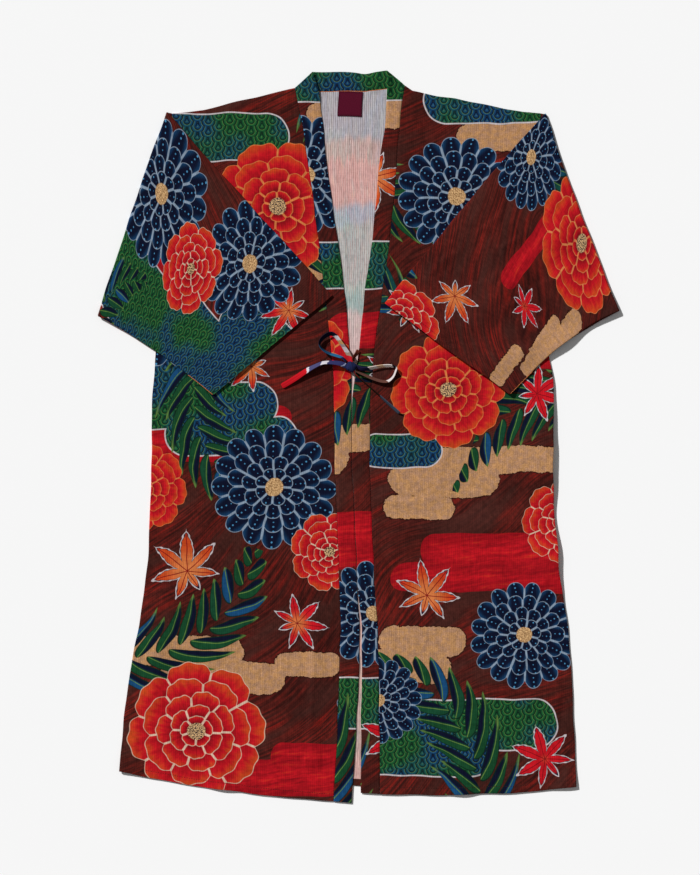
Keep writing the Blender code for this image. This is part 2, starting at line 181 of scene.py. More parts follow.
def threadTubes(centres, ahead, radius, profile):
    # round threads: rings square to each one's run, their size following the profile
    level = np.cross(ahead, [0.0, 0.0, 1.0])
    level /= np.linalg.norm(level, axis=-1, keepdims=True)
    upright = np.cross(level, ahead)
    turn = np.arange(threads["sides"]) * 2 * np.pi / threads["sides"]
    ring = level[..., None, :] * np.cos(turn)[:, None] + upright[..., None, :] * np.sin(turn)[:, None]
    size = radius * np.broadcast_to(profile, centres.shape[:-1])
    return centres[..., None, :] + ring * size[..., None, None]


def addTubes(name, rings, uv, material):  # joined tubes, each closed at both ends
    count, stations, sides = rings.shape[:3]
    index = np.arange(count * stations * sides).reshape(count, stations, sides)
    quads = np.concatenate([quadStrips(tube, closed=True) for tube in index])
    caps = [cap for tube in index for cap in (tube[0].tolist(), tube[-1, ::-1].tolist())]
    vertices = rings.reshape(-1, 3)
    if volumeOf(vertices - vertices.mean(axis=0), quads) < 0:
        quads = turned(quads)
        caps = [cap[::-1] for cap in caps]
    return addMesh(name, vertices, quads, uv.reshape(-1, 2), [material], caps=caps)


def evenly(line, pitch):  # places a fixed distance apart along a line of points, and its direction
    run = np.concatenate([[0.0], np.cumsum(np.linalg.norm(np.diff(line, axis=0), axis=1))])
    at = np.arange(pitch / 2, run[-1], pitch)
    place = np.stack([np.interp(at, run, line[:, k]) for k in range(3)], axis=-1)
    beyond = at + threads["lookAhead"]
    further = np.stack([np.interp(beyond, run, line[:, k]) for k in range(3)], axis=-1)
    ahead = further - place
    return place, ahead / np.linalg.norm(ahead, axis=1, keepdims=True), at


def addStitches(name, line):
    # each stitch a short arched thread that dives into the cloth at both its ends
    place, ahead, _ = evenly(line, threads["pitch"])
    t = np.linspace(-1.0, 1.0, threads["stations"])
    arch = threads["radius"] * (1.0 - threads["arch"] * t**2)
    centres = place[:, None] + ahead[:, None] * t[:, None] * threads["length"] / 2
    centres = centres + arch[:, None] * np.array([0.0, 0.0, 1.0])
    ahead = np.broadcast_to(ahead[:, None], centres.shape)
    rings = threadTubes(centres, ahead, threads["radius"], 1 - threads["taper"] * t**2)
    addPiece(addTubes(name, rings, rings[..., :2], stitchThread))


def addThread(name, line, radius):  # sewn over and over along an edge, in small beats
    place, ahead, run = evenly(line, threads["beatStep"])
    beat = 1 + threads["beatSwell"] * np.sin(run * 2 * np.pi / threads["beat"])
    rings = threadTubes(place[None], ahead[None], radius, beat[None])
    addPiece(addTubes(name, rings, rings[..., :2], seamThread))


def addPiece(obj, node=None):  # every piece moves with the jacket's one body
    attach(obj, body)
    if node:
        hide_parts(node)


# Materials, worked out by shader nodes from each piece's own "cloth" map, which is in metres:
# U across the ribs of the weave, V along them
def linear(code):  # a colour written as six hex digits, as the shader wants it
    parts = [int(code[i : i + 2], 16) / 255 for i in (0, 2, 4)]
    return (*[p / 12.92 if p <= 0.04045 else ((p + 0.055) / 1.055) ** 2.4 for p in parts], 1.0)


class Calc:  # a number, vector or colour at each point of the cloth
    def __init__(self, tree, socket):
        self.tree, self.socket = tree, socket

    def math(self, name, *others):
        return made(self.tree, "Math", (self, *others), operation=name)

    def __add__(self, other):
        return self.math("ADD", other)

    def __sub__(self, other):
        return self.math("SUBTRACT", other)

    def __rsub__(self, other):
        return self.math("MULTIPLY_ADD", -1.0, other)

    def __mul__(self, other):
        return self.math("MULTIPLY", other)

    def __truediv__(self, other):
        return self.math("DIVIDE", other)

    def __pow__(self, other):
        return self.math("POWER", other)

    def __abs__(self):
        return self.math("ABSOLUTE")

    def fract(self):
        return self.math("FRACT")

    def below(self, other):  # 1 where it is less
        return self.math("LESS_THAN", other)

    def soft(self, low, high):  # 0 up to low, 1 from high on
        return made(self.tree, "MapRange", (self, low, high), interpolation_type="SMOOTHSTEP")

    def vector(self, name, *others, output=0):
        return made(self.tree, "VectorMath", (self, *others), output=output, operation=name)

    def times(self, x, y):  # the vector with its X and Y multiplied, laid on the plane
        return self.vector("MULTIPLY", (x, y, 0.0))

    def parts(self):  # its X and its Y
        node = self.tree.nodes.new("ShaderNodeSeparateXYZ")
        self.tree.links.new(self.socket, node.inputs[0])
        return Calc(self.tree, node.outputs[0]), Calc(self.tree, node.outputs[1])

    def placed(self, x, y, turn, size):  # the vector seen from a motif's own middle, turn and size
        return made(
            self.tree, "Mapping",
            (self, (x, y, 0.0), (0.0, 0.0, np.radians(turn)), (size, size, 1.0)),
            vector_type="TEXTURE",
        )

    def noise(self, scale, detail=2.0, roughness=0.5, output=0):
        values = (self, None, scale, detail, roughness)
        return made(self.tree, "TexNoise", values, output=output)


def made(tree, kind, values, output=0, **settings):  # a new node with its inputs filled in order
    node = tree.nodes.new("ShaderNode" + kind)
    for key, value in settings.items():
        setattr(node, key, value)
    for value, place in zip(values, node.inputs):
        if isinstance(value, Calc):
            tree.links.new(value.socket, place)
        elif value is not None:
            place.default_value = value
    return Calc(tree, node.outputs[output])


def blended(kind, mask, start, end):  # start where the mask is 0, end where it is 1
    tree = next(v.tree for v in (mask, start, end) if isinstance(v, Calc))
    slot = dict(FLOAT=(2, 0), VECTOR=(4, 1), RGBA=(6, 2))[kind]
    values = [None] * 8
    values[0], values[slot[0]], values[slot[0] + 1] = mask, start, end
    return made(tree, "Mix", values, output=slot[1], data_type=kind)


def paint(mask, under, over):
    under, over = (linear(c) if isinstance(c, str) else c for c in (under, over))
    return blended("RGBA", mask, under, over)


def shaded(color, amount):  # a colour made darker or lighter by a number
    return color.vector("SCALE", None, None, amount)


# The print, in millimetres: garden flowers, leaves, waves and clouds on chestnut brown. The body
# is cut round (0, 0), the left sleeve from (900, 0) on and the right sleeve from (900, -500) on.
ink = dict(
    ground="51201a", groundDark="2c0f0d", groundRed="861812", groundDull="40231e",
    gold="bd8c5e", goldRose="ae8468", goldLight="d8b07e", goldDark="8a6440", white="bdb4b6",
    red="bc1520", redDark="7c0d16", orange="bd441c", orangeLight="cb7440", navy="0b1026",
    blue="16456e", blueLight="4585ae", green="154327", greenDark="0a2419", greenLight="5b7a3a",
    teal="103e42", waveGreen="1d5a30", rim="8191a2", rimPale="cdb09a",
)
goldClouds = table(
    "x y halfLength radius",
    (120, -60, 55, 24), (190, -32, 80, 20), (85, -98, 34, 18),
    (-250, -300, 70, 22), (-190, -338, 66, 24), (-60, 236, 60, 20),
    (-130, 212, 50, 18), (215, 420, 60, 20), (90, -286, 40, 22),
    (62, -322, 46, 24), (-70, -318, 30, 18),
    (1172, 214, 52, 18), (1126, 240, 44, 16),
    (1118, -284, 62, 15), (1060, -262, 50, 17), (1205, -312, 40, 12),
)
redClouds = table(
    "x y halfLength radius",
    (205, -160, 92, 26), (128, -196, 62, 20), (268, -200, 50, 18),
    (-150, -476, 112, 26), (-40, -446, 66, 17), (-236, -10, 80, 24),
    (-170, 26, 60, 18), (250, 120, 60, 24), (-60, 330, 60, 24),
    (1010, 148, 60, 22), (1000, -382, 84, 15),
)
waveClouds = table(
    "x y halfLength radius",
    (-238, 44, 92, 34), (-178, 2, 66, 28), (-280, 92, 60, 26),
    (160, -402, 84, 36), (84, -444, 76, 32), (210, 210, 80, 34),
    (-200, 420, 70, 34), (60, -20, 34, 24),
    (1070, 246, 150, 42), (1160, 186, 100, 44), (1010, 204, 92, 36),
    (1245, 120, 60, 44), (1216, -246, 66, 26), (196, 472, 72, 34),
)
boughs = table(  # each an arc of leaves, from its middle
    "x y turn radius",
    (-20, -500, -15, 190), (300, -120, 70, 175), (-330, -120, -100, 190), (130, 470, 200, 165),
    (-60, 60, 160, 170), (1050, 330, 150, 150), (1072, -420, -105, 172),
)
maples = table(
    "x y turn size",
    (-238, -185, 120, 62), (-86, -262, 20, 50), (96, -222, 75, 56),
    (262, -452, 130, 56), (74, 178, 60, 48), (232, 332, -60, 54),
    (-262, 330, 45, 60), (-150, 100, 200, 44), (250, 60, 10, 50),
    (1226, 60, 100, 48), (1176, -428, 40, 46), (1090, -340, 110, 40),
)
mums = table(
    "x y turn size",
    (-118, -70, 10, 88), (138, 338, 40, 84), (232, -278, 0, 76),
    (-270, 190, 25, 92), (30, -370, 15, 60),
    (944, 92, 10, 92), (1130, 56, 30, 82), (950, -470, 0, 66),
)
peonies = table(
    "x y turn size",
    (-112, 322, 0, 94), (-226, -412, 30, 98), (126, 66, 75, 82),
    (-40, -160, 140, 56), (286, -120, 200, 58), (-300, -70, 60, 62),
    (1050, 128, 20, 60), (925, -322, 0, 92), (1262, -470, 50, 60),
)

# Rings of petals, the outermost first: radius as a share of the flower's, number, turn in petals
mumRings = ((1.0, 16, 0.0), (0.75, 14, 0.4), (0.52, 11, 0.1), (0.32, 8, 0.3))
peonyRings = ((0.99, 8, 0.0), (0.78, 7, 0.5), (0.58, 7, 0.15), (0.4, 6, 0.6), (0.24, 5, 0.2))
mum = dict(dip=0.15, blunt=2.4, dots=13.0, dotSize=0.034, dotsFrom=0.45)  # dip: of petals' corners
peony = dict(dip=0.12, blunt=2.6, ruffles=3, ruffle=0.014)
maple = dict(lobes=7.0, lobe=0.64, middle=0.34, teeth=9.0, toothDepth=0.10)
bough = dict(  # shares of the arc's radius, and of the whole turn for where it starts and ends
    spacing=0.165, slant=1.2, stagger=0.25, leaf=0.25, longer=0.10, starts=0.12, ends=0.62,
)
drawing = dict(waver=8.0, goldLine=1.4, waveLine=1.9, tornEdge=9.0, sweep=260.0)  # millimetres
waves = dict(radius=15.0, arcs=3.0)


def cloudDistance(place, rows):  # distance outside the nearest of the lying, round-ended clouds
    nearest = None
    for x, y, halfLength, radius in zip(*rows.values()):
        along = place.vector("SUBTRACT", (x, y, 0.0)).vector("ABSOLUTE")
        past = along.vector("SUBTRACT", (halfLength, 0.0, 0.0)).vector("MAXIMUM", (0.0, 0.0, 0.0))
        gap = past.vector("LENGTH", output=1) - radius
        nearest = gap if nearest is None else nearest.math("MINIMUM", gap)
    return nearest


def topmost(place, rows, reach=0.5, middle=0.5):
    # the place seen from the last motif in the table that it lies on, and that motif's shade
    local, shade = (9.0, 9.0, 0.0), 0.0  # off every motif
    for number, (x, y, turn, size) in enumerate(zip(*rows.values())):
        seen = place.placed(x, y, turn, size)
        on = seen.vector("LENGTH", output=1).math("COMPARE", middle, reach)
        local = blended("VECTOR", on, local, seen)
        shade = blended("FLOAT", on, shade, (number * 0.618) % 1.0)
    return local, shade


def polar(local):  # distance from the middle, and angle as 0 to 1
    x, y = local.parts()
    return local.vector("LENGTH", output=1), y.math("ARCTAN2", x) / (2 * np.pi) + 0.5


def petalRing(r, angle, radius, count, offset, dip, blunt):
    # how far inside the petals' tips, inside the nearest petal's edge, and how far to its side
    # (0 middle, 1 edge)
    side = abs((angle * count + offset).fract() - 0.5) * 2.0
    tip = (side**blunt) * (-dip * radius) + radius
    toTip = tip - r
    toSide = (1.0 - side) * (r * (np.pi / count))
    return toTip, toTip.math("MINIMUM", toSide), side


def brushed(place, turn, long, broad):  # uneven streaks, from the length and width of a stroke
    return place.placed(0.0, 0.0, turn, 1.0).times(1 / long, 1 / broad).noise(1.0, 3.0, 0.62)


def paintGround(place):  # long brush strokes that sweep in wide curves
    warp = place.noise(0.003, 1.0, output=1).vector("SUBTRACT", (0.5, 0.5, 0.5))
    swept = place.vector("ADD", warp.times(drawing["sweep"], drawing["sweep"]))
    strokes = brushed(swept, 34.0, 52.0, 3.4)
    broad = brushed(swept, 34.0, 150.0, 40.0)
    across = brushed(place, 124.0, 13.0, 3.2)
    patches = place.noise(0.008, 2.0)
    color = paint(strokes.soft(0.22, 0.74), ink["groundDark"], ink["ground"])
    color = paint((1.0 - broad.soft(0.38, 0.52)) * 0.6, color, ink["groundDull"])
    color = paint(strokes.soft(0.4, 0.74) * broad.soft(0.42, 0.64) * 0.82, color, ink["groundRed"])
    return shaded(color, patches.soft(0.3, 0.7) * 0.36 + across.soft(0.2, 0.8) * 0.3 + 0.67)


def paintGold(color, drawn, grain):  # torn-edged clouds of mottled gold, outlined dark
    rough = drawn.noise(0.11, 3.0, 0.7)
    gold = cloudDistance(drawn, goldClouds) + (rough - 0.5) * drawing["tornEdge"]
    fleck = paint(rough.soft(0.4, 0.6), ink["goldRose"], ink["gold"])
    fleck = paint((1.0 - grain.soft(0.34, 0.6)) * 0.5, fleck, ink["goldDark"])
    fleck = paint(grain.soft(0.56, 0.72) * 0.6, fleck, ink["goldLight"])
    color = paint(1.0 - gold.soft(-0.4, 0.4), color, ink["groundDark"])
    return paint(1.0 - (gold + drawing["goldLine"]).soft(-0.3, 0.3), color, fleck)


def paintRed(color, drawn):  # plain red clouds, streaked by the brush
    red = cloudDistance(drawn, redClouds)
    streaks = brushed(drawn, 8.0, 46.0, 5.0)
    tone = paint(streaks.soft(0.2, 0.64), ink["redDark"], ink["red"])
    tone = paint((red + 12.0).soft(-12.0, 12.0) * 0.55, tone, ink["redDark"])
    tone = paint(streaks.soft(0.56, 0.78) * 0.45, tone, ink["orange"])
    return paint(1.0 - red.soft(-0.5, 0.5), color, tone)


def paintWaves(place):
    # round scales in staggered rows, each of concentric arcs, the lower row in front
    x, y = place.times(1 / waves["radius"], 1 / waves["radius"]).parts()
    row = (y * 2.0).math("FLOOR")
    height = y - row * 0.5
    ring = 9.0  # farther off than any scale
    for lower in (-1, 0, 1):
        shift = (row + (2.0 - lower)) * 0.5
        across = ((x * 0.5 + shift).fract() - 0.5) * 2.0
        up = height - 0.5 * lower
        reach = (across * across + up * up).math("SQRT")
        ring = blended("FLOAT", reach.below(1.0), ring, reach)
    arcs = (ring * waves["arcs"]).fract()
    tint = place.noise(0.012, 1.0).soft(0.42, 0.6)
    fade = arcs.soft(0.2, 0.95)
    tone = paint(
        tint, paint(fade, ink["waveGreen"], ink["greenDark"]), paint(fade, ink["blue"], ink["navy"])
    )
    return paint((1.0 - arcs.soft(0.06, 0.2)) * 0.7, tone, ink["greenLight"])


def paintCloudOfWaves(color, drawn, place):  # clouds filled with waves, outlined white
    gap = cloudDistance(drawn, waveClouds)
    color = paint(1.0 - gap.soft(-0.4, 0.4), color, ink["white"])
    return paint(1.0 - (gap + drawing["waveLine"]).soft(-0.4, 0.4), color, paintWaves(place))


def paintBoughs(color, drawn):
    # leaves on both sides of an arc, slanting forward: each is a lens across its own spacing
    local, _ = topmost(drawn, boughs, 0.36, 1.0)
    r, angle = polar(local)
    off = r - 1.0
    out = abs(off)
    slant = out + out * out * bough["slant"]
    q = (angle * (2 * np.pi) - slant) / bough["spacing"]
    q = q + off.math("SIGN") * bough["stagger"]
    pick = made(local.tree, "TexWhiteNoise", (None, q.math("FLOOR")), noise_dimensions="1D")
    grown = (angle - bough["starts"]).soft(0.0, 0.14) * (1.0 - (angle - bough["ends"]).soft(0.0, 0.2))
    t = out / ((pick * bough["longer"] + bough["leaf"]) * grown + 0.001)
    f = abs(q.fract() - 0.5)
    inside = (t.math("MINIMUM", 1.0) ** 0.8 * np.pi).math("SINE") ** 0.8 * 0.5 - f
    leaf = paint(pick.soft(0.35, 0.65), ink["green"], ink["teal"])
    leaf = paint(pick.soft(0.66, 0.74), leaf, ink["blue"])
    leaf = paint((q.fract() - 0.5).soft(0.0, 0.16), leaf, ink["navy"])
    leaf = paint(1.0 - f.soft(0.015, 0.04), leaf, ink["greenLight"])
    on = inside.soft(0.0, 0.05) * t.below(1.0) * (1.0 - grown.below(0.2))
    color = paint(on, color, ink["greenDark"])
    color = paint(on * inside.soft(0.05, 0.12), color, leaf)
    return paint(on * t.soft(0.82, 0.95) * 0.8, color, ink["greenLight"])


def paintMaples(color, drawn):  # seven pointed, toothed lobes, the lowest ones shorter
    local, shade = topmost(drawn, maples)
    r, angle = polar(local)
    side = abs((angle * maple["lobes"] + 0.5).fract() - 0.5) * 2.0
    teeth = abs((r * maple["teeth"] + side * 2.0).fract() - 0.5) * maple["toothDepth"]
    envelope = (angle * np.pi).math("SINE") * 0.40 + 0.58
    inside = ((1.0 - side) ** 1.05 * maple["lobe"] + maple["middle"] - teeth) * envelope - r
    leaf = paint(r.soft(0.1, 0.6), ink["orangeLight"], ink["orange"])
    leaf = paint((shade + r * 0.8).soft(0.6, 1.0), leaf, ink["red"])
    leaf = paint(1.0 - (side * r).soft(0.012, 0.03), leaf, ink["redDark"])
    color = paint(inside.soft(0.0, 0.015), color, ink["white"])
    color = paint(inside.soft(0.05, 0.07), color, ink["navy"])
    return paint(inside.soft(0.08, 0.105), color, leaf)


def paintMums(color, drawn, grain):  # rings of dotted petals, the inner rings in front
    local, _ = topmost(drawn, mums)
    r, angle = polar(local)
    for radius, count, offset in mumRings:
        toTip, edge, side = petalRing(r, angle, radius, count, offset, mum["dip"], mum["blunt"])
        t = r / radius
        petal = paint((t * 0.8 + side * 0.4).soft(0.8, 1.15), ink["navy"], ink["blue"])
        run = r * mum["dots"]
        dotRun = (run.fract() - 0.5) / mum["dots"]
        dotSide = side * r * (np.pi / count)
        dot = (dotRun * dotRun + dotSide * dotSide).math("SQRT")
        size = (t - mum["dotsFrom"]) * mum["dotSize"]
        petal = paint(1.0 - (dot - size).soft(-0.004, 0.003), petal, ink["blueLight"])
        on = toTip.soft(0.0, 0.012)
        color = paint(on, color, ink["rim"])
        color = paint(on * edge.soft(0.012, 0.024), color, petal)
    heart = paint(grain.soft(0.42, 0.58), ink["goldDark"], ink["goldLight"])
    return paint(1.0 - r.soft(0.14, 0.155), color, heart)


def paintPeonies(color, drawn, grain):  # rings of ruffled petals, dark at the root, light-edged
    local, shade = topmost(drawn, peonies)
    r, angle = polar(local)
    veins = made(local.tree, "CombineXYZ", (angle * 70.0, r * 2.5, shade * 9.0)).noise(1.0, 2.0, 0.6)
    for radius, count, offset in peonyRings:
        turn = (angle * count + offset) * (2 * np.pi * peony["ruffles"])
        ruffle = turn.math("COSINE") * (peony["ruffle"] * radius)
        toTip, edge, _ = petalRing(
            r + ruffle, angle, radius, count, offset, peony["dip"], peony["blunt"]
        )
        t = r / radius
        petal = paint((t + veins * 0.35 - 0.17).soft(0.5, 0.9), ink["redDark"], ink["red"])
        petal = paint((t + veins * 0.3 - 0.15).soft(0.8, 1.02), petal, ink["orange"])
        on = toTip.soft(0.0, 0.012)
        color = paint(on, color, paint(shade.soft(0.3, 0.5), ink["orangeLight"], ink["rimPale"]))
        color = paint(on * edge.soft(0.011, 0.02), color, petal)
    heart = paint(grain.soft(0.45, 0.55), ink["navy"], ink["goldLight"])
    return paint(1.0 - r.soft(0.12, 0.13), color, heart)


def paintPrint(place):  # ground first, then each motif over the ones before it
    waver = place.noise(0.02, 1.0, output=1).vector("SUBTRACT", (0.5, 0.5, 0.5))
    drawn = place.vector("ADD", waver.times(drawing["waver"], drawing["waver"]))  # hand-drawn
    grain = place.noise(0.5, 3.0, 0.8)
    color = paintGround(place)
    color = paintRed(color, drawn)
    color = paintGold(color, drawn, grain)
    color = paintCloudOfWaves(color, drawn, place)
    color = paintBoughs(color, drawn)
    color = paintMaples(color, drawn)
    color = paintMums(color, drawn, grain)
    color = paintPeonies(color, drawn, grain)
    mottle = place.noise(0.14, 4.0, 0.68)  # the dye took unevenly
    return shaded(color, mottle.soft(0.28, 0.72) * 0.34 + 0.83)


def printGroup():
    tree = bpy.data.node_groups.new("gardenPrint", "ShaderNodeTree")
    tree.interface.new_socket("Place", in_out="INPUT", socket_type="NodeSocketVector")
    tree.interface.new_socket("Color", in_out="OUTPUT", socket_type="NodeSocketColor")
    entry = tree.nodes.new("NodeGroupInput")
    leave = tree.nodes.new("NodeGroupOutput")
    tree.links.new(paintPrint(Calc(tree, entry.outputs[0])).socket, leave.inputs[0])
    return tree


gardenPrint = printGroup()
weave = dict(
    rib=2.9, slub=34.0, waver=0.8, cross=(0.06, 0.9), ribDepth=0.16, specular=0.05, roughness=0.9,
)


def newMaterial(name, roughness, specular):
    material = bpy.data.materials.new(name)
    material.use_nodes = True
    shader = material.node_tree.nodes["Principled BSDF"]
    shader.inputs["Roughness"].default_value = roughness
    shader.inputs["Specular IOR Level"].default_value = specular
    uv = material.node_tree.nodes.new("ShaderNodeUVMap")
    uv.uv_map = "cloth"
    flat = Calc(material.node_tree, uv.outputs[0]).vector("SCALE", None, None, 1 / mm)
    return material, shader, flat


def finishMaterial(shader, color, height, depth):  # colour, and relief in millimetres
    tree = height.tree
    tree.links.new(color.socket, shader.inputs["Base Color"])
    relief = tree.nodes.new("ShaderNodeBump")
    relief.inputs["Distance"].default_value = depth * mm
    tree.links.new(height.socket, relief.inputs["Height"])
    tree.links.new(relief.outputs[0], shader.inputs["Normal"])


def slubbyRibs(flat):
    # ribs a fixed pitch apart that swell and thin along their length, with finer threads across
    slub = flat.times(1 / weave["rib"], 1 / weave["slub"]).noise(1.0, 2.0, 0.6)
    x, _ = flat.parts()
    rib = abs((x / weave["rib"] + slub * weave["waver"]).fract() - 0.5) * 2.0
    cross = flat.times(*weave["cross"]).noise(1.0, 2.0, 0.6)
    return rib.soft(0.1, 0.9), slub, cross


def clothMaterial(name, offset):  # face of the cloth, cut from the print at an offset
    material, shader, flat = newMaterial(name, weave["roughness"], weave["specular"])
    group = material.node_tree.nodes.new("ShaderNodeGroup")
    group.node_tree = gardenPrint
    place = flat.vector("ADD", (*offset, 0.0))
    material.node_tree.links.new(place.socket, group.inputs[0])
    rib, slub, cross = slubbyRibs(flat)
    # the rib term is painted shade of the weave: darker in the grooves between the ribs, lighter on
    # them, where the bump also falls and rises
    tone = rib * 0.10 + slub * 0.44 + cross * 0.34 + 0.48
    color = shaded(Calc(material.node_tree, group.outputs[0]), tone)
    finishMaterial(shader, color, rib * 0.5 + slub + cross * 0.6, weave["ribDepth"])
    return material


def patched(color, place, patches, edge):  # colours that follow each other along the cloth
    for start, code in patches:
        color = paint(place.soft(start, start + edge), color, code)
    return color


wrongSide = dict(
    pale="b8b2b6", paleBlue="aeacb6", bleached="c9c4bf", wander=52.0, streak=(3.0, 46.0), softEdge=14.0,
    soaked=(  # tones that came through, each from a distance down on
        (88.0, "ccaca6"), (180.0, "a1b2be"), (208.0, "a6b7b5"), (330.0, "d9bebb"), (640.0, "cdb0a8"),
    ),
)


def insideMaterial(name, offset):  # the wrong side: the print soaked through pale, in streaks
    material, shader, flat = newMaterial(name, weave["roughness"], weave["specular"])
    group = material.node_tree.nodes.new("ShaderNodeGroup")
    group.node_tree = gardenPrint
    rib, slub, cross = slubbyRibs(flat)
    streak = flat.times(0.9, 0.012).noise(1.0, 1.0, output=1).vector("SUBTRACT", (0.5, 0.5, 0.5))
    place = flat.vector("ADD", (*offset, 0.0)).vector("ADD", streak.times(*wrongSide["streak"]))
    material.node_tree.links.new(place.socket, group.inputs[0])
    through = Calc(material.node_tree, group.outputs[0])
    _, up = flat.parts()
    sway = flat.times(0.045, 0.008).noise(1.0, 3.0, 0.6) * wrongSide["wander"]
    down = jacket["length"] / 2 - (up + (sway - wrongSide["wander"] / 2))
    pale = paint(slub.soft(0.3, 0.7), wrongSide["pale"], wrongSide["paleBlue"])
    pale = patched(pale, down, wrongSide["soaked"], wrongSide["softEdge"])
    bleached = flat.times(0.17, 0.016).noise(1.0, 2.0, 0.6).soft(0.5, 0.62)
    pale = paint(bleached * 0.35, pale, wrongSide["bleached"])
    fleck = flat.times(0.55, 0.09).noise(1.0, 2.0, 0.7).soft(0.42, 0.66)
    color = paint(rib * 0.14 + slub * 0.2 + 0.61, through, pale)
    # rib * 0.16 is painted shade of the weave: darker in the grooves between the ribs, lighter on them,
    # where the bump also falls and rises
    color = shaded(color, rib * 0.16 + fleck * -0.25 + cross * 0.34 + 0.84)
    finishMaterial(shader, color, rib + slub + cross * 0.6, weave["ribDepth"])
    return material


label = dict(
    width=34.0, height=34.7, middle=(-11.2, 46.9), lean=2.8, cloth=0.8, step=1.2, rib=0.55,
    border=(0.0, 0.3, 0.8), edgeDrop=0.2, turnedEdge=(2.6, 2.2),
    maroon="5a1028", dark="480c20", edge="32091a",
)


def labelMaterial():  # fine woven ribs, darker between them as painted shade, with darker turned edges
    material, shader, flat = newMaterial("labelWeave", roughness=0.8, specular=0.05)
    x, y = flat.vector("ABSOLUTE").parts()
    edge = (x + (label["height"] - label["width"]) / 2).math("MAXIMUM", y)
    thread = abs((flat.parts()[1] / label["rib"]).fract() - 0.5) * 2.0
    uneven = flat.times(0.5, 2.2).noise(1.0, 2.0, 0.6)
    color = paint(uneven.soft(0.3, 0.7), label["dark"], label["maroon"])
    turnedFrom, turnedTo = (label["height"] / 2 - inset for inset in label["turnedEdge"])
    color = paint(edge.soft(turnedFrom, turnedTo) * 0.45, color, label["edge"])
    # thread * 0.22 is painted shade of the woven ribs: darker between them, lighter on them, where the
    # bump also falls and rises
    color = shaded(color, thread * 0.22 + 0.86)
    finishMaterial(shader, color, thread + uneven * 0.5, depth=0.08)
    return material


def threadMaterial(name, dark, pale):  # spun thread: slanting turns of two tones
    material, shader, flat = newMaterial(name, roughness=0.7, specular=0.2)
    x, y = flat.parts()
    spun = ((x + y) * 1.6 + flat.noise(0.4, 1.0)).fract()
    finishMaterial(shader, paint(spun.soft(0.2, 0.8), dark, pale), spun, depth=0.05)
    return material


tieCut = dict(  # where along the strip each tie is cut from, and the patches that cross the strip; a few are painted highlight and painted shade, noted where they stand
    starts={
        "tie_loop_left": 0.0, "tie_tail_left": 150.0, "tie_loop_right": 280.0,
        "tie_tail_right": 430.0, "tie_root_right": 530.0,
    },
    patches=(
        (12.0, "8d7a6c"), (17.0, "b3abae"), (26.0, "8a7f80"), (31.0, "b08a58"), (38.0, "c3bec2"),
        # 46: the print's navy, set near black as painted shade of the left loop's inner face at its
        #     top, which leans away from the sun
        (46.0, "0c1024"), (78.0, "1a3f5c"), (98.0, "235f86"), (114.0, "1b2142"), (157.0, "7d8299"),
        (159.4, "2a2c54"), (180.0, "b9b5bb"), (190.0, "3f3f62"), (209.0, "b9b5bb"), (213.0, "a9121c"),
        # 303 to 337: the right loop's upper run, cream and tan of the print made lighter still as a
        #             painted highlight, since it leans away from the sun; 337: near black, painted
        #             shade where that loop turns at its far end
        (262.0, "201c3c"), (303.0, "dccdc6"), (316.0, "d9b493"), (325.0, "e4d9d4"), (337.0, "16141c"),
        (343.0, "bdb4b2"), (366.0, "5a3a32"), (425.0, "6b1a18"), (446.0, "2c1612"), (484.0, "3c4656"),
        (520.0, "5e2a1e"),
    ),
    red="b01822", redWorn="98131c", slant=0.5, waver=5.0, softEdge=1.2, ribDepth=0.12,
)


def tieMaterial():  # the same cloth cut narrow, in patches whose edges slant and waver
    material, shader, flat = newMaterial("tiePrint", weave["roughness"], weave["specular"])
    x, run = flat.parts()
    rib, slub, cross = slubbyRibs(flat)
    place = run + x * tieCut["slant"] + flat.times(0.3, 0.1).noise(1.0, 1.0) * tieCut["waver"]
    color = paint(slub.soft(0.4, 0.6), tieCut["red"], tieCut["redWorn"])
    color = patched(color, place, tieCut["patches"], tieCut["softEdge"])
    color = shaded(color, slub * 0.5 + cross * 0.3 + 0.6)
    finishMaterial(shader, color, rib + slub + cross, tieCut["ribDepth"])
    return material


faceCloth = {
    "body": clothMaterial("bodyPrint", (0.0, 0.0)),
    "sleeve_left": clothMaterial("sleeveLeftPrint", (900.0, 0.0)),
    "sleeve_right": clothMaterial("sleeveRightPrint", (900.0, -500.0)),
    "collar": clothMaterial("collarPrint", (210.0, -30.0)),
    "tie": tieMaterial(),
}
insideCloth = insideMaterial("insideCloth", (-90.0, 20.0))
labelCloth = labelMaterial()
stitchThread = threadMaterial("stitchThread", threads["stitchColor"], threads["stitchLight"])
seamThread = threadMaterial("seamThread", threads["seamColor"], threads["seamLight"])


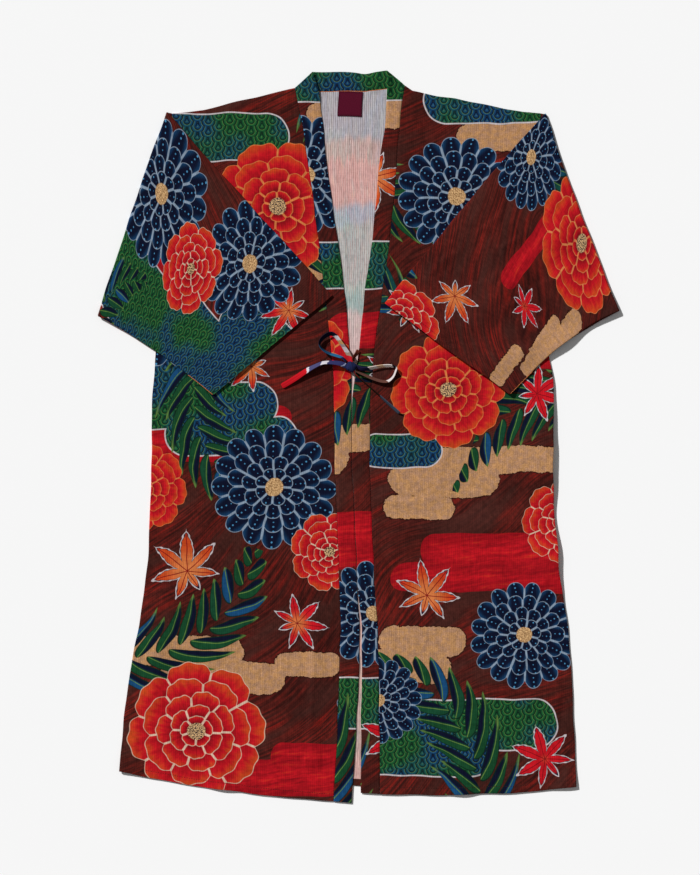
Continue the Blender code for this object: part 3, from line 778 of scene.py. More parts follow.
# Ties: where the middle of each runs, its height, and its lean from flat (0) to on edge (90)
tie = dict(
    widths=dict(left=8.0, right=6.4), cloth=1.2, steps=10, around=14, tuck=0.45,
    corners=(0.6, 0.7), endShrink=0.3, endReach=0.4,
)
knot = dict(
    middle=(-10.0, 415.2), height=7.4, halfSizes=(7.8, 7.6, 4.5), rows=56, columns=88, wrap=0.16,
    over=(0.92, 0.38, 0.0), overWidth=0.42, across=(0.30, -0.95, 0.0), acrossWidth=0.3,
    acrossShift=0.1, acrossHeight=0.6, fold=0.03, foldPitch=(17.0, 3.0), cloth=(0.0, 132.0),
)
knotted = dict(  # which ends of each tie go into the knot: its start, its finish
    tie_loop_left=(True, True), tie_tail_left=(True, False), tie_loop_right=(True, True),
    tie_tail_right=(True, False), tie_root_right=(False, True),
)
tieRows = {
    "tie_loop_left": table(
        "x down height lean",
        (-11.4, 404.2, 7.6, 34), (-13.6, 397.4, 7.2, 40), (-19.4, 387.8, 7, 50),
        (-26.2, 377.8, 7.2, 52), (-32, 370.4, 7.4, 48), (-38, 367.6, 7.6, 44),
        (-45, 370.4, 7.4, 46), (-51.4, 376.2, 7.2, 58), (-53.6, 383.2, 7.2, 74),
        (-48.4, 390.4, 7.2, 70), (-39.4, 395.4, 7.2, 64), (-28.6, 399.4, 7.2, 62),
        (-21.4, 402.6, 7.4, 66),
    ),
    "tie_tail_left": table(
        "x down height lean",
        (-18.8, 413.2, 8, -18), (-25, 410.2, 8.2, -32), (-36.8, 408, 7.9, -48),
        (-49.2, 408.2, 7.4, -56), (-60.5, 413, 6.8, -50), (-72.8, 420, 6, -30),
        (-89, 430.8, 5, -10), (-107.1, 442.1, 3.9, -2),
    ),
    "tie_loop_right": table(
        "x down height lean",
        (-2.6, 415.2, 7.6, 150), (6, 418.2, 7.4, 144), (18.2, 416.8, 6.7, 136),
        (31.5, 414.4, 6, 130), (44.4, 413.4, 5.9, 124), (52.4, 416, 6, 112),
        (51.2, 422.2, 6, 110), (47.4, 429.6, 6, 114), (40.4, 435.2, 5.8, 124),
        (31, 435, 5.7, 130), (20.2, 431.6, 5.9, 130), (9.4, 427, 6.3, 124),
        (-0.8, 422.6, 7, 112),
    ),
    "tie_tail_right": table(
        "x down height lean",
        (-4.4, 425.6, 7.2, 96), (2.6, 432.2, 6.8, 100), (13.6, 441.4, 6.4, 104),
        (26, 451.6, 6, 108), (39.2, 463.2, 5.9, 118), (49.4, 472, 5.7, 128),
        (58.2, 479.8, 5.6, 130),
    ),
    "tie_root_right": table(
        "x down height lean",
        (1.2, 392, 4.1, 8), (-0.9, 395, 5, 22), (-3.3, 398.2, 6.5, 40),
        (-5.4, 401, 7.6, 52),
    ),
}


def tucked(rows, start, finish):  # a route carried on part of the way to the knot's middle
    middle = dict(x=knot["middle"][0], down=knot["middle"][1], height=knot["height"])
    longer = {}
    for key, values in rows.items():
        first, last = (v + tie["tuck"] * (middle.get(key, v) - v) for v in values[[0, -1]])
        longer[key] = np.concatenate([[first] * start, values, [last] * finish])
    return longer


def tieRibbon(name, rows):
    # a pressed-flat section, a superellipse, carried along the path and leaning as its row says
    rows = tucked(rows, *knotted[name])
    knots = np.arange(len(rows["x"]), dtype=float)
    at = np.linspace(0.0, knots[-1], (len(knots) - 1) * tie["steps"] + 1)
    x, down, height, lean = (smoothCurve(at, knots, rows[key]) for key in rows)
    path = points(x, down, height)
    ahead = np.gradient(path, axis=0)
    ahead /= np.linalg.norm(ahead, axis=1, keepdims=True)
    level = np.cross(ahead, [0.0, 0.0, 1.0])
    level /= np.linalg.norm(level, axis=1, keepdims=True)
    upright = np.cross(level, ahead)
    lean = np.radians(lean)[:, None]
    broad = level * np.cos(lean) + upright * np.sin(lean)
    thick = np.cross(ahead, broad)
    turn = np.arange(tie["around"]) * 2 * np.pi / tie["around"]
    width = tie["widths"][name.split("_")[-1]]
    broadCorner, thickCorner = tie["corners"]
    across = np.sign(np.cos(turn)) * np.abs(np.cos(turn)) ** broadCorner * width / 2
    through = np.sign(np.sin(turn)) * np.abs(np.sin(turn)) ** thickCorner * tie["cloth"] / 2
    run = np.concatenate([[0.0], np.cumsum(np.linalg.norm(np.diff(path, axis=0), axis=1))])
    fromEnd = np.minimum(run, run[-1] - run)
    shrink = 1 - tie["endShrink"] * np.exp(-((fromEnd / tie["endReach"]) ** 2))
    rings = path[:, None] + shrink[:, None, None] * (
        broad[:, None] * across[None, :, None] + thick[:, None] * through[None, :, None]
    )
    cutAt = run + tieCut["starts"][name]
    uv = np.stack(np.broadcast_arrays(across[None], cutAt[:, None]), axis=-1)
    obj = addTubes(f"{name}_cloth", rings[None], uv, faceCloth["tie"])
    return obj, [tuple(p) for p in (path * mm).tolist()], float(run[-1]) * mm, width * mm


def addTies():
    ties = {name: tieRibbon(name, rows) for name, rows in tieRows.items()}
    for name, (obj, *_) in ties.items():
        addPiece(obj, name)
    for name, farEnd in (
        ("tie_loop_left", "object"), ("tie_tail_left", "bare"),
        ("tie_loop_right", "object"), ("tie_tail_right", "bare"),
    ):
        obj, path, length, width = ties[name]
        extra = [ties["tie_root_right"][0]] if name == "tie_loop_right" else []


def addKnot():
    # a ball pressed to three half sizes; a turn of cloth is raised wherever a slanting plane
    # through it passes near, one leaning each way, with fine folds along them
    polarAngle, aroundAngle = np.meshgrid(
        np.linspace(0.0, np.pi, knot["rows"])[1:-1],
        np.linspace(0.0, 2 * np.pi, knot["columns"], endpoint=False), indexing="ij",
    )
    unit = np.stack([
        np.sin(polarAngle) * np.cos(aroundAngle), np.sin(polarAngle) * np.sin(aroundAngle),
        np.cos(polarAngle),
    ], axis=-1)
    over = unit @ knot["over"]
    across = unit @ knot["across"]
    overTurn = np.exp(-((over / knot["overWidth"]) ** 4))
    acrossTurn = np.exp(-(((across - knot["acrossShift"]) / knot["acrossWidth"]) ** 4))
    raised = np.maximum(overTurn, knot["acrossHeight"] * acrossTurn)
    overPitch, acrossPitch = knot["foldPitch"]
    folds = knot["fold"] * np.sin(over * overPitch + across * acrossPitch) * raised
    swell = 1 - knot["wrap"] / 2 + knot["wrap"] * raised + folds
    ball = unit * swell[..., None] * knot["halfSizes"]
    uv = ball[..., :2] + knot["cloth"]
    rings = ball + points(*knot["middle"], knot["height"])
    obj = addTubes("tie_knot_cloth", rings[None], uv, faceCloth["tie"])
    addPiece(obj, "tie_knot")


addTies()
addKnot()
print("ties and knot made")

# Lines of the body: X of the seams and edges at each distance down, left and right
bodyLines = table(
    "down side_left seam_left edge_left edge_right seam_right side_right",
    (0.4, -256.3, -95.2, -64.4, 39.8, 69.3, 253.6),
    (27, -258.1, -88.2, -55.4, 40, 64.4, 254.4),
    (59.9, -260.4, -81.2, -51.1, 38.8, 59.6, 255.5),
    (139, -265.9, -67.8, -41.9, 29.4, 54.3, 258),
    (223, -271.6, -57.4, -30.9, 21, 45.6, 260.8),
    (314, -277.9, -45.6, -17.8, 9.4, 34.3, 263.8),
    (398, -283.6, -37.1, -11.6, 0.3, 22.3, 267.2),
    (440, -287.3, -34.7, -9.8, -6.4, 18.3, 273.2),
    (503, -288.6, -32.9, -8.7, -8.1, 17.2, 273.7),
    (545, -288.4, -32.2, -8.1, -7.8, 16.9, 273.7),
    (587, -290.6, -31.4, -7.1, -6.6, 17.4, 273.3),
    (625, -292.4, -29.8, -5.4, -4.9, 18.9, 274.6),
    (664, -293, -27.9, -3.4, -2.8, 20.9, 279.7),
    (690, -294.8, -26.6, -2.1, -1.6, 22.2, 280.4),
    (727, -298.8, -25.1, -0.4, 0.4, 24.2, 286.6),
    (769, -305.8, -24.5, 1.4, 4.2, 26.9, 292.4),
    (839, -319, -26.6, 1.1, 5, 28.8, 298.4),
    (923, -328.8, -28.3, -2.1, 4.6, 30.4, 303),
    (1030, -338.9, -35.6, -10.1, 3.1, 30.4, 306.4),
)
shoulderLine = table(
    "along left right",
    (0, 59.8, 60.4), (0.12, 57.5, 58.6), (0.25, 55, 53.6), (0.50, 44.5, 43.8),
    (0.62, 39.6, 38.2), (0.75, 34.3, 35.4), (0.94, 26.3, 28.8), (1, 24.2, 21.4),
)
frontHem = table(
    "along left right",
    (0, 981.1, 1001.4), (0.25, 995.3, 1010.2), (0.50, 1007.4, 1012.2),
    (0.75, 1016.5, 1013.8), (1, 1021.7, 1013.3),
)
backEdges = table(
    "across top hem",
    (0, 59.8, 981.1), (0.25, 55, 986), (0.50, 44.5, 990.5), (0.75, 34.3, 995),
    (1, 24.6, 999.5), (1.22, 28.8, 1000.3), (1.45, 29.2, 1001), (1.65, 29.8, 1001.8),
    (1.84, 26.3, 1002.5), (2, 22, 1003), (2.06, 28.8, 1003), (2.25, 35.4, 1003),
    (2.38, 38.2, 1003), (2.50, 43.8, 1002.8), (2.75, 53.6, 1002.2), (2.88, 58.6, 1001.8),
    (3, 60.4, 1001.4),
)
neckBand = table(
    "across topX topDown",
    (1, -64, 1.3), (1.22, -35, 1.2), (1.45, -6, 3),
    (1.65, 10, 5), (1.84, 25, 2.3), (2, 39.2, 0),
)
bandEnds = {
    left: dict(seamTop=24.0, edgeTop=1.5, seamHem=1022.3, edgeHem=1025.6),
    right: dict(seamTop=21.4, edgeTop=0.2, seamHem=1012.9, edgeHem=1011.2),
}
sleeves = {
    left: dict(
        shoulder=(-268.1, 58.2), low=(-364.0, 343.4), cuffLow=(-202.3, 454.0), cuffTop=(-35.0, 314.0),
        bowTop=2.0, bowUnder=5.0, bowFold=1.8, seamEnd=392.0, peek=1.9, cuffLift=0.1,
    ),
    right: dict(
        shoulder=(262.8, 60.4), low=(365.8, 336.0), cuffLow=(212.1, 453.3), cuffTop=(37.4, 326.2),
        bowTop=-3.0, bowUnder=10.2, bowFold=-2.4, seamEnd=396.0, peek=0.5, cuffLift=3.6,
    ),
}
frontFolds = table(
    "x0 down0 x1 down1 halfWidth height",
    (-235, 629, -95, 685, 31, 2),
    (59, 650, 240, 629, 28, 2),
    (-60, 760, -62, 965, 18, 1.4),
    (-200, 937, -186, 1021, 25, 2.2),
    (157, 944, 146, 1021, 23, 2),
    (101, 769, 227, 881, 33, 1.6),
    (-270, 741, -290, 881, 25, 1.6),
)
sleeveFolds = table(
    "x0 down0 x1 down1 halfWidth height",
    (-280, 215, -165, 330, 30, 2),
    (-195, 160, -105, 262, 26, 1.6),
    (-225, 395, -165, 415, 24, 1.6),
    (285, 225, 170, 345, 30, 2),
    (190, 165, 100, 285, 26, 1.8),
    (230, 400, 170, 415, 24, 1.6),
)
seamLifts = table(
    "x down radius height",
    (272, 462, 52, 2), (276, 545, 98, 6), (284, 680, 70, 5),
    (296, 1006, 34, 2.4), (-343, 985, 48, 3),
)
sleeveLifts = table(
    "x down radius height",
    (-362, 342, 60, 2), (364, 336, 60, 2), (302, 384, 38, 2.5),
    (284, 391, 40, 2.4),
)
# Finer creases, each along its own line: bend is how far its middle bows to the side
frontCreases = table(
    "x0 down0 x1 down1 bend halfWidth height",
    (-253, 479, -222, 580, 7, 14, 0.9), (-276, 520, -262, 640, -5, 9, 0.7),
    (-168, 478, -128, 556, -6, 12, 0.7), (-104, 470, -84, 548, 4, 9, 0.6),
    (-36, 588, -92, 697, 7, 10, 0.9), (-38, 600, -140, 655, -7, 12, 0.6),
    (-91, 690, -70, 752, 4, 6, 0.6), (-210, 596, -132, 618, 9, 12, 0.6),
    (-286, 722, -192, 748, 9, 10, 0.7), (-148, 752, -232, 842, -9, 13, 0.9),
    (-60, 800, -62, 950, 3, 5, 0.9), (-108, 820, -82, 905, -6, 12, 0.5),
    (-256, 850, -152, 902, 10, 12, 0.7), (-124, 905, -110, 1006, 5, 9, 0.9),
    (-166, 915, -158, 1008, -4, 7, 0.7), (-236, 918, -224, 1002, 4, 9, 0.9),
    (-296, 846, -262, 945, -7, 10, 0.8), (-306, 905, -312, 985, 3, 6, 0.8),
    (-328, 930, -336, 985, 1, 2.2, 0.5), (-180, 690, -246, 700, 5, 8, 0.4),
    (-88, 64, -74, 168, 4, 6, 0.6), (-66, 190, -62, 262, -3, 5, 0.5),
    (25, 597, 104, 603, 4, 8, 0.9), (22, 628, 112, 640, 5, 10, 0.9),
    (38, 708, 98, 680, -5, 6, 0.6), (46, 655, 68, 742, 5, 9, 0.7),
    (104, 560, 218, 604, 10, 13, 0.8), (134, 498, 118, 584, 5, 9, 0.7),
    (62, 474, 88, 552, -5, 10, 0.6), (198, 486, 214, 560, 5, 9, 0.7),
    (264, 556, 222, 646, 7, 11, 1), (270, 700, 212, 764, -6, 11, 0.9),
    (278, 664, 190, 690, 6, 9, 0.5), (286, 806, 198, 852, 8, 13, 0.9),
    (48, 784, 114, 832, -7, 11, 0.6), (150, 726, 128, 800, 6, 12, 0.5),
    (203, 905, 194, 972, 4, 8, 0.7), (148, 892, 238, 966, 7, 11, 0.8),
    (88, 908, 166, 858, 6, 11, 0.7), (60, 896, 66, 1004, 3, 8, 0.8),
    (118, 938, 128, 1006, -4, 7, 0.8), (258, 900, 250, 1000, 5, 10, 0.9),
    (288, 858, 276, 934, 4, 7, 0.7), (226, 950, 214, 1008, 3, 6, 0.7),
    (70, 62, 94, 118, -4, 6, 0.6), (58, 128, 78, 214, 4, 6, 0.6),
    (150, 58, 168, 76, 1, 4, 0.5), (44, 230, 52, 292, 2, 5, 0.4),
)
sleeveCreases = table(
    "x0 down0 x1 down1 bend halfWidth height",
    (-139, 236, -172, 310, 5, 9, 0.9), (-106, 262, -162, 366, -7, 10, 0.8),
    (-182, 298, -208, 390, 5, 9, 0.8), (-232, 246, -264, 340, -6, 11, 0.8),
    (-216, 146, -180, 218, 7, 9, 0.7), (-262, 84, -236, 156, 6, 7, 0.8),
    (-292, 166, -264, 252, 4, 10, 0.8), (-326, 262, -304, 334, -5, 8, 0.7),
    (-236, 392, -190, 426, 4, 8, 0.6), (-152, 196, -178, 262, -4, 8, 0.5),
    (-266, 62, -250, 84, 1, 3, 0.7), (-259, 66, -240, 80, 2, 2.6, 0.6),
    (-246, 82, -226, 96, -2, 3, 0.5), (-276, 92, -258, 118, 2, 4, 0.6),
    (-84, 292, -112, 346, 4, 7, 0.6), (-300, 340, -252, 376, 4, 8, 0.6),
    (160, 230, 202, 196, 4, 7, 0.9), (95, 290, 147, 250, -5, 8, 1),
    (190, 250, 250, 216, 5, 8, 0.9), (148, 308, 218, 262, 7, 11, 0.9),
    (188, 354, 252, 308, -6, 11, 0.8), (122, 214, 166, 172, 5, 8, 0.7),
    (250, 304, 304, 262, 5, 10, 0.8), (222, 398, 266, 362, 4, 7, 0.6),
    (244, 104, 216, 166, -5, 8, 0.7), (288, 166, 262, 220, 5, 9, 0.7),
    (262, 64, 250, 88, 1, 3, 0.6), (272, 92, 258, 118, -2, 4, 0.6),
    (318, 268, 342, 330, 4, 8, 0.6), (120, 330, 152, 384, 4, 7, 0.5),
    (300, 338, 262, 376, 4, 8, 0.6),
)
insideCreases = table(
    "x0 down0 x1 down1 bend halfWidth height",
    (-44, 92, -18, 190, 4, 6, 0.7), (22, 60, 6, 148, -4, 6, 0.6),
    (-14, 82, -6, 150, 2, 4, 0.5), (-22, 200, -12, 300, 3, 5, 0.6),
    (10, 160, 2, 250, -2, 4, 0.5), (-30, 128, 16, 138, 3, 6, 0.4),
)


crease = dict(lean=0.3, start=0.75, widening=0.4, fading=0.7)


def creases(x, down, rows):
    # each a bell-shaped ridge beside a line bowed like a parabola, fading out at both its ends,
    # one flank a little steeper than the other
    lean, start, widening, fading = (crease[key] for key in ("lean", "start", "widening", "fading"))
    height = np.zeros_like(x)
    for x0, down0, x1, down1, bend, halfWidth, top in zip(*rows.values()):
        alongX, alongDown = x1 - x0, down1 - down0
        length = np.hypot(alongX, alongDown)
        t = np.clip(((x - x0) * alongX + (down - down0) * alongDown) / length**2, 0.0, 1.0)
        fade = 4 * t * (1 - t)
        side = ((down - down0) * alongX - (x - x0) * alongDown) / length - bend * fade
        flank = halfWidth * (1 + lean * np.tanh(side / halfWidth)) * (start + widening * t)
        height += top * fade**fading * np.exp(-2 * (side / flank) ** 2)
    return height


cockle = dict(  # each wave's length, the other waves that sway it and let it come and go
    height=0.16, across=17.0, acrossSway=(1.7, 41.0), acrossFade=(23.0, 67.0),
    along=26.0, alongSway=(1.3, 37.0), alongFade=31.0,
)
hem = dict(width=11.0, height=0.2, step=(0.6, 1.2), groove=0.16, grooveWidth=0.9, stitches=9.6)
pucker = dict(height=0.13, reach=7.0, across=3.1, along=4.3, swell=29.0)


def cockled(x, down):  # the slight unevenness of pressed cotton, crossing waves of unequal length
    sway, swayLength = cockle["acrossSway"]
    fadeDown, fadeX = cockle["acrossFade"]
    across = np.sin(x / cockle["across"] + sway * np.sin(down / swayLength))
    across = across * np.sin(down / fadeDown + x / fadeX)
    sway, swayLength = cockle["alongSway"]
    along = np.sin(down / cockle["along"] + sway * np.sin(x / swayLength + 1.0))
    along = along * np.sin(x / cockle["alongFade"] + 0.5)
    return cockle["height"] * (across + along)


def puckered(distance, run):  # short ripples square to a seam, dying away from it
    ripple = np.sin(run / pucker["across"]) + np.sin(run / pucker["along"] + 1.0)
    swell = 0.6 + 0.4 * np.sin(run / pucker["swell"])
    return pucker["height"] * swell * ripple * np.exp(-distance / pucker["reach"])


def hemmed(distance):  # a turned edge one fold thicker, with the groove of its stitching
    fold = 1 - softStep(distance, hem["width"] - hem["step"][0], hem["width"] + hem["step"][1])
    groove = np.exp(-(((distance - hem["stitches"]) / hem["grooveWidth"]) ** 2))
    return hem["height"] * fold - hem["groove"] * groove


def aboveLayer(height, room=0.22):  # ridges keep their height; troughs stop within the room below
    return np.where(height < 0, room * np.tanh(height / room), height)


def bodyLine(name, side, down):  # X of one of the body's lines at distances down
    return smoothCurve(down, bodyLines["down"], bodyLines[f"{name}_{sideNames[side]}"])


def bodyX(across, down):  # X across the body: 0 left side, 1 and 2 the collar seams, 3 right side
    halfGap = jacket["gap"] / 2
    lines = [
        bodyLine("side", left, down) + halfGap, bodyLine("seam", left, down),
        bodyLine("seam", right, down), bodyLine("side", right, down) - halfGap,
    ]
    part = np.clip(np.floor(across), 0, 2).astype(int)
    start, end = np.choose(part, lines[:-1]), np.choose(part, lines[1:])
    return start + (end - start) * (across - part)


def bump(distance, radius):  # (1 - (distance / radius) squared) squared, 0 from the radius on
    return np.clip(1 - (distance / radius) ** 2, 0.0, 1.0) ** 2


def ridges(x, down, rows):  # soft ridges, each along a straight line with rounded ends
    height = np.zeros_like(x)
    for x0, down0, x1, down1, halfWidth, top in zip(*rows.values()):
        alongX, alongDown = x1 - x0, down1 - down0
        t = ((x - x0) * alongX + (down - down0) * alongDown) / (alongX**2 + alongDown**2)
        t = np.clip(t, 0.0, 1.0)
        height += top * bump(np.hypot(x - x0 - t * alongX, down - down0 - t * alongDown), halfWidth)
    return height


def lifted(x, down, rows):  # round swellings, each a bump about its own middle
    height = np.zeros_like(x)
    for liftX, liftDown, radius, top in zip(*rows.values()):
        height += top * bump(np.hypot(x - liftX, down - liftDown), radius)
    return height


def sleeveDistance(x, down, side):  # how far outside the folded sleeve, 0 or less inside it
    size = sleeves[side]
    corners = [np.array(size[key]) for key in ("shoulder", "cuffTop", "cuffLow", "low")]
    centre = sum(corners) / 4
    farthest = np.full(np.shape(x), -np.inf)
    for a, b in zip(corners, corners[1:] + corners[:1]):
        normal = np.array([b[1] - a[1], a[0] - b[0]]) / np.linalg.norm(b - a)
        normal *= -np.sign(normal @ (centre - a))
        farthest = np.maximum(farthest, (x - a[0]) * normal[0] + (down - a[1]) * normal[1])
    return farthest


besideSleeve = (5.0, 26.0)  # the fine relief fades out between these distances from a sleeve


def bare(x, down):  # 1 clear of both sleeves, 0 where one lies on the cloth
    clear = np.minimum(sleeveDistance(x, down, left), sleeveDistance(x, down, right))
    return softStep(clear, *besideSleeve)


def edgeDrop(*distances):  # how far a skin curls in towards the wall's middle near its edges
    near = np.clip(np.minimum.reduce(distances) / jacket["edgeReach"], 0.0, 1.0)
    return jacket["edgeRound"] * (1 - near) ** 2


def frontRelief(x, down, pulled):  # the large folds, then what is fine, only where it lies bare
    fine = creases(x, down, frontCreases) + cockled(x, down) + pulled
    return ridges(x, down, frontFolds) + lifted(x, down, seamLifts) + aboveLayer(fine * bare(x, down))


edgeBorder = (0.0, 0.5, 1.2, 2.2)
hemBorder = (0.0, 0.5, 1.2, 2.4, 4.2, 6.4, 8.2, 9.0, 9.6, 10.2, 11.2, 12.4, 14.0)
front = dict(width=235.0, length=950.0, step=2.3, hemPucker=0.7, stitchInset=4)
backPanel = dict(length=970.0, step=3.8, sideColumns=18, middleColumns=72)
band = dict(
    width=26.0, widthStep=1.7, length=1000.0, step=2.6, crown=0.5,
    roll=3.2, rollWidth=7.0, rollFrom=10.0, rollTo=58.0,
)
neck = dict(
    width=27.0, widthStep=1.6, length=105.0, step=2.0, crown=0.9, cockling=1.6,
    threadInset=3, threadRise=0.1,
)
backInside = dict(  # where its creases begin beside the edges and the label, and where they end
    edges=(1.0, 8.0), label=(2.0, 9.0), end=(330.0, 370.0), cockling=1.5,
)


def wallFrom(name, x, down, base, relief, drop, face, inside, extra=0.0, **sides):
    # a wall of cloth: its under skin at the base and relief, its upper one a cloth higher, both
    # curling in at the edges, and extra height on the upper one
    uv = np.stack(np.broadcast_arrays(x, jacket["length"] / 2 - down), axis=-1)
    under = points(x, down, base + relief + drop)
    over = points(x, down, base + relief + jacket["cloth"] - drop + extra)
    return clothWall(name, under, over, uv, face, inside, **sides), over


def addFront(side):
    # a panel: u runs evenly from the side line to the collar's seam, v from the shoulder to the hem
    name = sideNames[side]
    u, v = np.meshgrid(
        spread(front["width"], front["step"], edgeBorder),
        spread(front["length"], front["step"], hemBorder),
    )
    top = np.interp(u, shoulderLine["along"], shoulderLine[name])
    low = smoothCurve(u, frontHem["along"], frontHem[name])
    down = top + (low - top) * v
    outer = bodyLine("side", side, down) - side * jacket["gap"] / 2
    inner = bodyLine("seam", side, down) + side * jacket["gap"] / 2
    x = outer + (inner - outer) * u
    drop = edgeDrop(np.abs(x - outer), np.abs(inner - x), down - top, low - down)
    pulled = puckered(np.abs(inner - x), down) + puckered(down - top, x)
    pulled = pulled + puckered(np.abs(low - down - hem["width"]), x) * front["hemPucker"]
    obj, over = wallFrom(
        f"front_{name}_cloth", x, down, frontLayer, frontRelief(x, down, pulled), drop,
        faceCloth["body"], insideCloth, extra=hemmed(low - down),
    )
    addPiece(obj, f"front_{name}")
    stitched = np.argmin(np.abs(low - down - hem["stitches"])[:, u.shape[1] // 2])
    inset = front["stitchInset"]
    addStitches(f"hem_stitches_{name}", over[stitched, inset:-inset])


def addCollarRun(side):
    # a band: u runs from its seam to its free edge, v from the shoulder to the hem; crowned between
    # its edges, and lifted beside the free one near the neck, where the band rolls over
    name = sideNames[side]
    ends = bandEnds[side]
    u, v = np.meshgrid(
        spread(band["width"], band["widthStep"], edgeBorder),
        spread(band["length"], band["step"], edgeBorder),
    )
    top = ends["seamTop"] + (ends["edgeTop"] - ends["seamTop"]) * u
    low = ends["seamHem"] + (ends["edgeHem"] - ends["seamHem"]) * u
    down = top + (low - top) * v
    seam = bodyLine("seam", side, down) - side * jacket["gap"] / 2
    edge = bodyLine("edge", side, down)
    x = seam + (edge - seam) * u
    drop = edgeDrop(np.abs(x - seam), np.abs(edge - x), down - top, low - down)
    crown = band["crown"] * (1 - (2 * u - 1) ** 6) * bare(x, down)
    pulled = puckered(np.abs(x - seam), down)
    rolled = np.exp(-((np.abs(edge - x) / band["rollWidth"]) ** 2))
    rolled = band["roll"] * rolled * (1 - softStep(down, band["rollFrom"], band["rollTo"]))
    obj, _ = wallFrom(
        f"collar_{name}_cloth", x, down, frontLayer, frontRelief(x, down, pulled) + rolled, drop,
        faceCloth["collar"], insideCloth, extra=crown,
    )
    addPiece(obj, f"collar_{name}")


def addCollarNeck():
    # the band behind the neck: u runs along it, v from its top edge to its seam, crowned between
    u, v = np.meshgrid(
        spread(neck["length"], neck["step"], edgeBorder),
        spread(neck["width"], neck["widthStep"], edgeBorder),
    )
    across = 1 + u
    topX = smoothCurve(across, neckBand["across"], neckBand["topX"])
    topDown = smoothCurve(across, neckBand["across"], neckBand["topDown"])
    seamDown = np.interp(across, backEdges["across"], backEdges["top"]) - jacket["gap"]
    seamX = bodyX(across, seamDown)
    x = topX + (seamX - topX) * v
    down = topDown + (seamDown - topDown) * v
    width = seamDown - topDown
    drop = edgeDrop(u * neck["length"], (1 - u) * neck["length"], v * width, (1 - v) * width)
    ends = 1 - (2 * u - 1) ** 8
    crown = neck["crown"] * (1 - (2 * v - 1) ** 4) * ends
    crown = crown + (puckered((1 - v) * width, x) + cockled(x * neck["cockling"], down)) * ends
    obj, over = wallFrom(
        "collar_neck_cloth", x, down, 0.0, 0.0, drop, faceCloth["collar"], faceCloth["collar"],
        extra=aboveLayer(crown),
    )
    addPiece(obj, "collar_neck")
    inset = neck["threadInset"]
    seam = over[-1, inset:-inset] + (0.0, 0.0, neck["threadRise"])
    addThread("neck_seam_thread", seam, threads["neckRadius"])


def insideRelief(x, down):  # creases of the back that show between the fronts, clear of the label
    edges = np.minimum(x - bodyLine("edge", left, down), bodyLine("edge", right, down) - x)
    middle, downMiddle = label["middle"]
    fromLabel = np.maximum(
        np.abs(x - middle) - label["width"] / 2, np.abs(down - downMiddle) - label["height"] / 2
    )
    shows = softStep(edges, *backInside["edges"]) * softStep(fromLabel, *backInside["label"])
    shows = shows * (1 - softStep(down, *backInside["end"]))
    fine = creases(x, down, insideCreases) + cockled(x * backInside["cockling"], down)
    return aboveLayer(fine * shows)


def addBack():
    # one panel: across counts 0 to 3 from side to side by the collar's seams, v from top to hem
    columns = np.concatenate([
        np.linspace(0.0, 1.0, backPanel["sideColumns"])[:-1],
        np.linspace(1.0, 2.0, backPanel["middleColumns"])[:-1],
        np.linspace(2.0, 3.0, backPanel["sideColumns"]),
    ])
    rows = spread(backPanel["length"], backPanel["step"], hemBorder)
    across, v = np.meshgrid(columns, rows)
    top, low = (np.interp(across, backEdges["across"], backEdges[key]) for key in ("top", "hem"))
    down = top + (low - top) * v
    x = bodyX(across, down)
    obj, _ = wallFrom(
        "back_cloth", x, down, 0.0, lifted(x, down, seamLifts), 0.0, faceCloth["body"], insideCloth,
        extra=insideRelief(x, down) + hemmed(low - down), faceUp=False,
        hemRows=int((1 - rows < hem["stitches"] / backPanel["length"]).sum()) - 1,
    )
    addPiece(obj, "back")


def bowed(start, end, t, bow, inward, skew=1.0):
    # from start to end, curving by the bow towards a point; a skew below 1 bows nearer the start
    line = end - start
    normal = np.array([-line[1], line[0]]) / np.linalg.norm(line)
    normal *= np.sign(normal @ (inward - start))
    return start + line * t + normal * bow * np.sin(np.pi * t**skew)


sleeve = dict(
    rootStations=5, turnStations=9, step=2.5, underStep=6.0, arcPoints=7, rootLength=60.0,
    turnLength=7.0, rootBow=2.0, underSkew=0.85, peekAlong=(0.4, 0.9), peekAcross=(0.92, 1.0),
    foldEdge=(0.5, 5.0), hemPucker=0.8, cuffReach=30.0, stitchFrom=4.0, stitchInset=6,
    endThread=46.0, endInset=2,
)


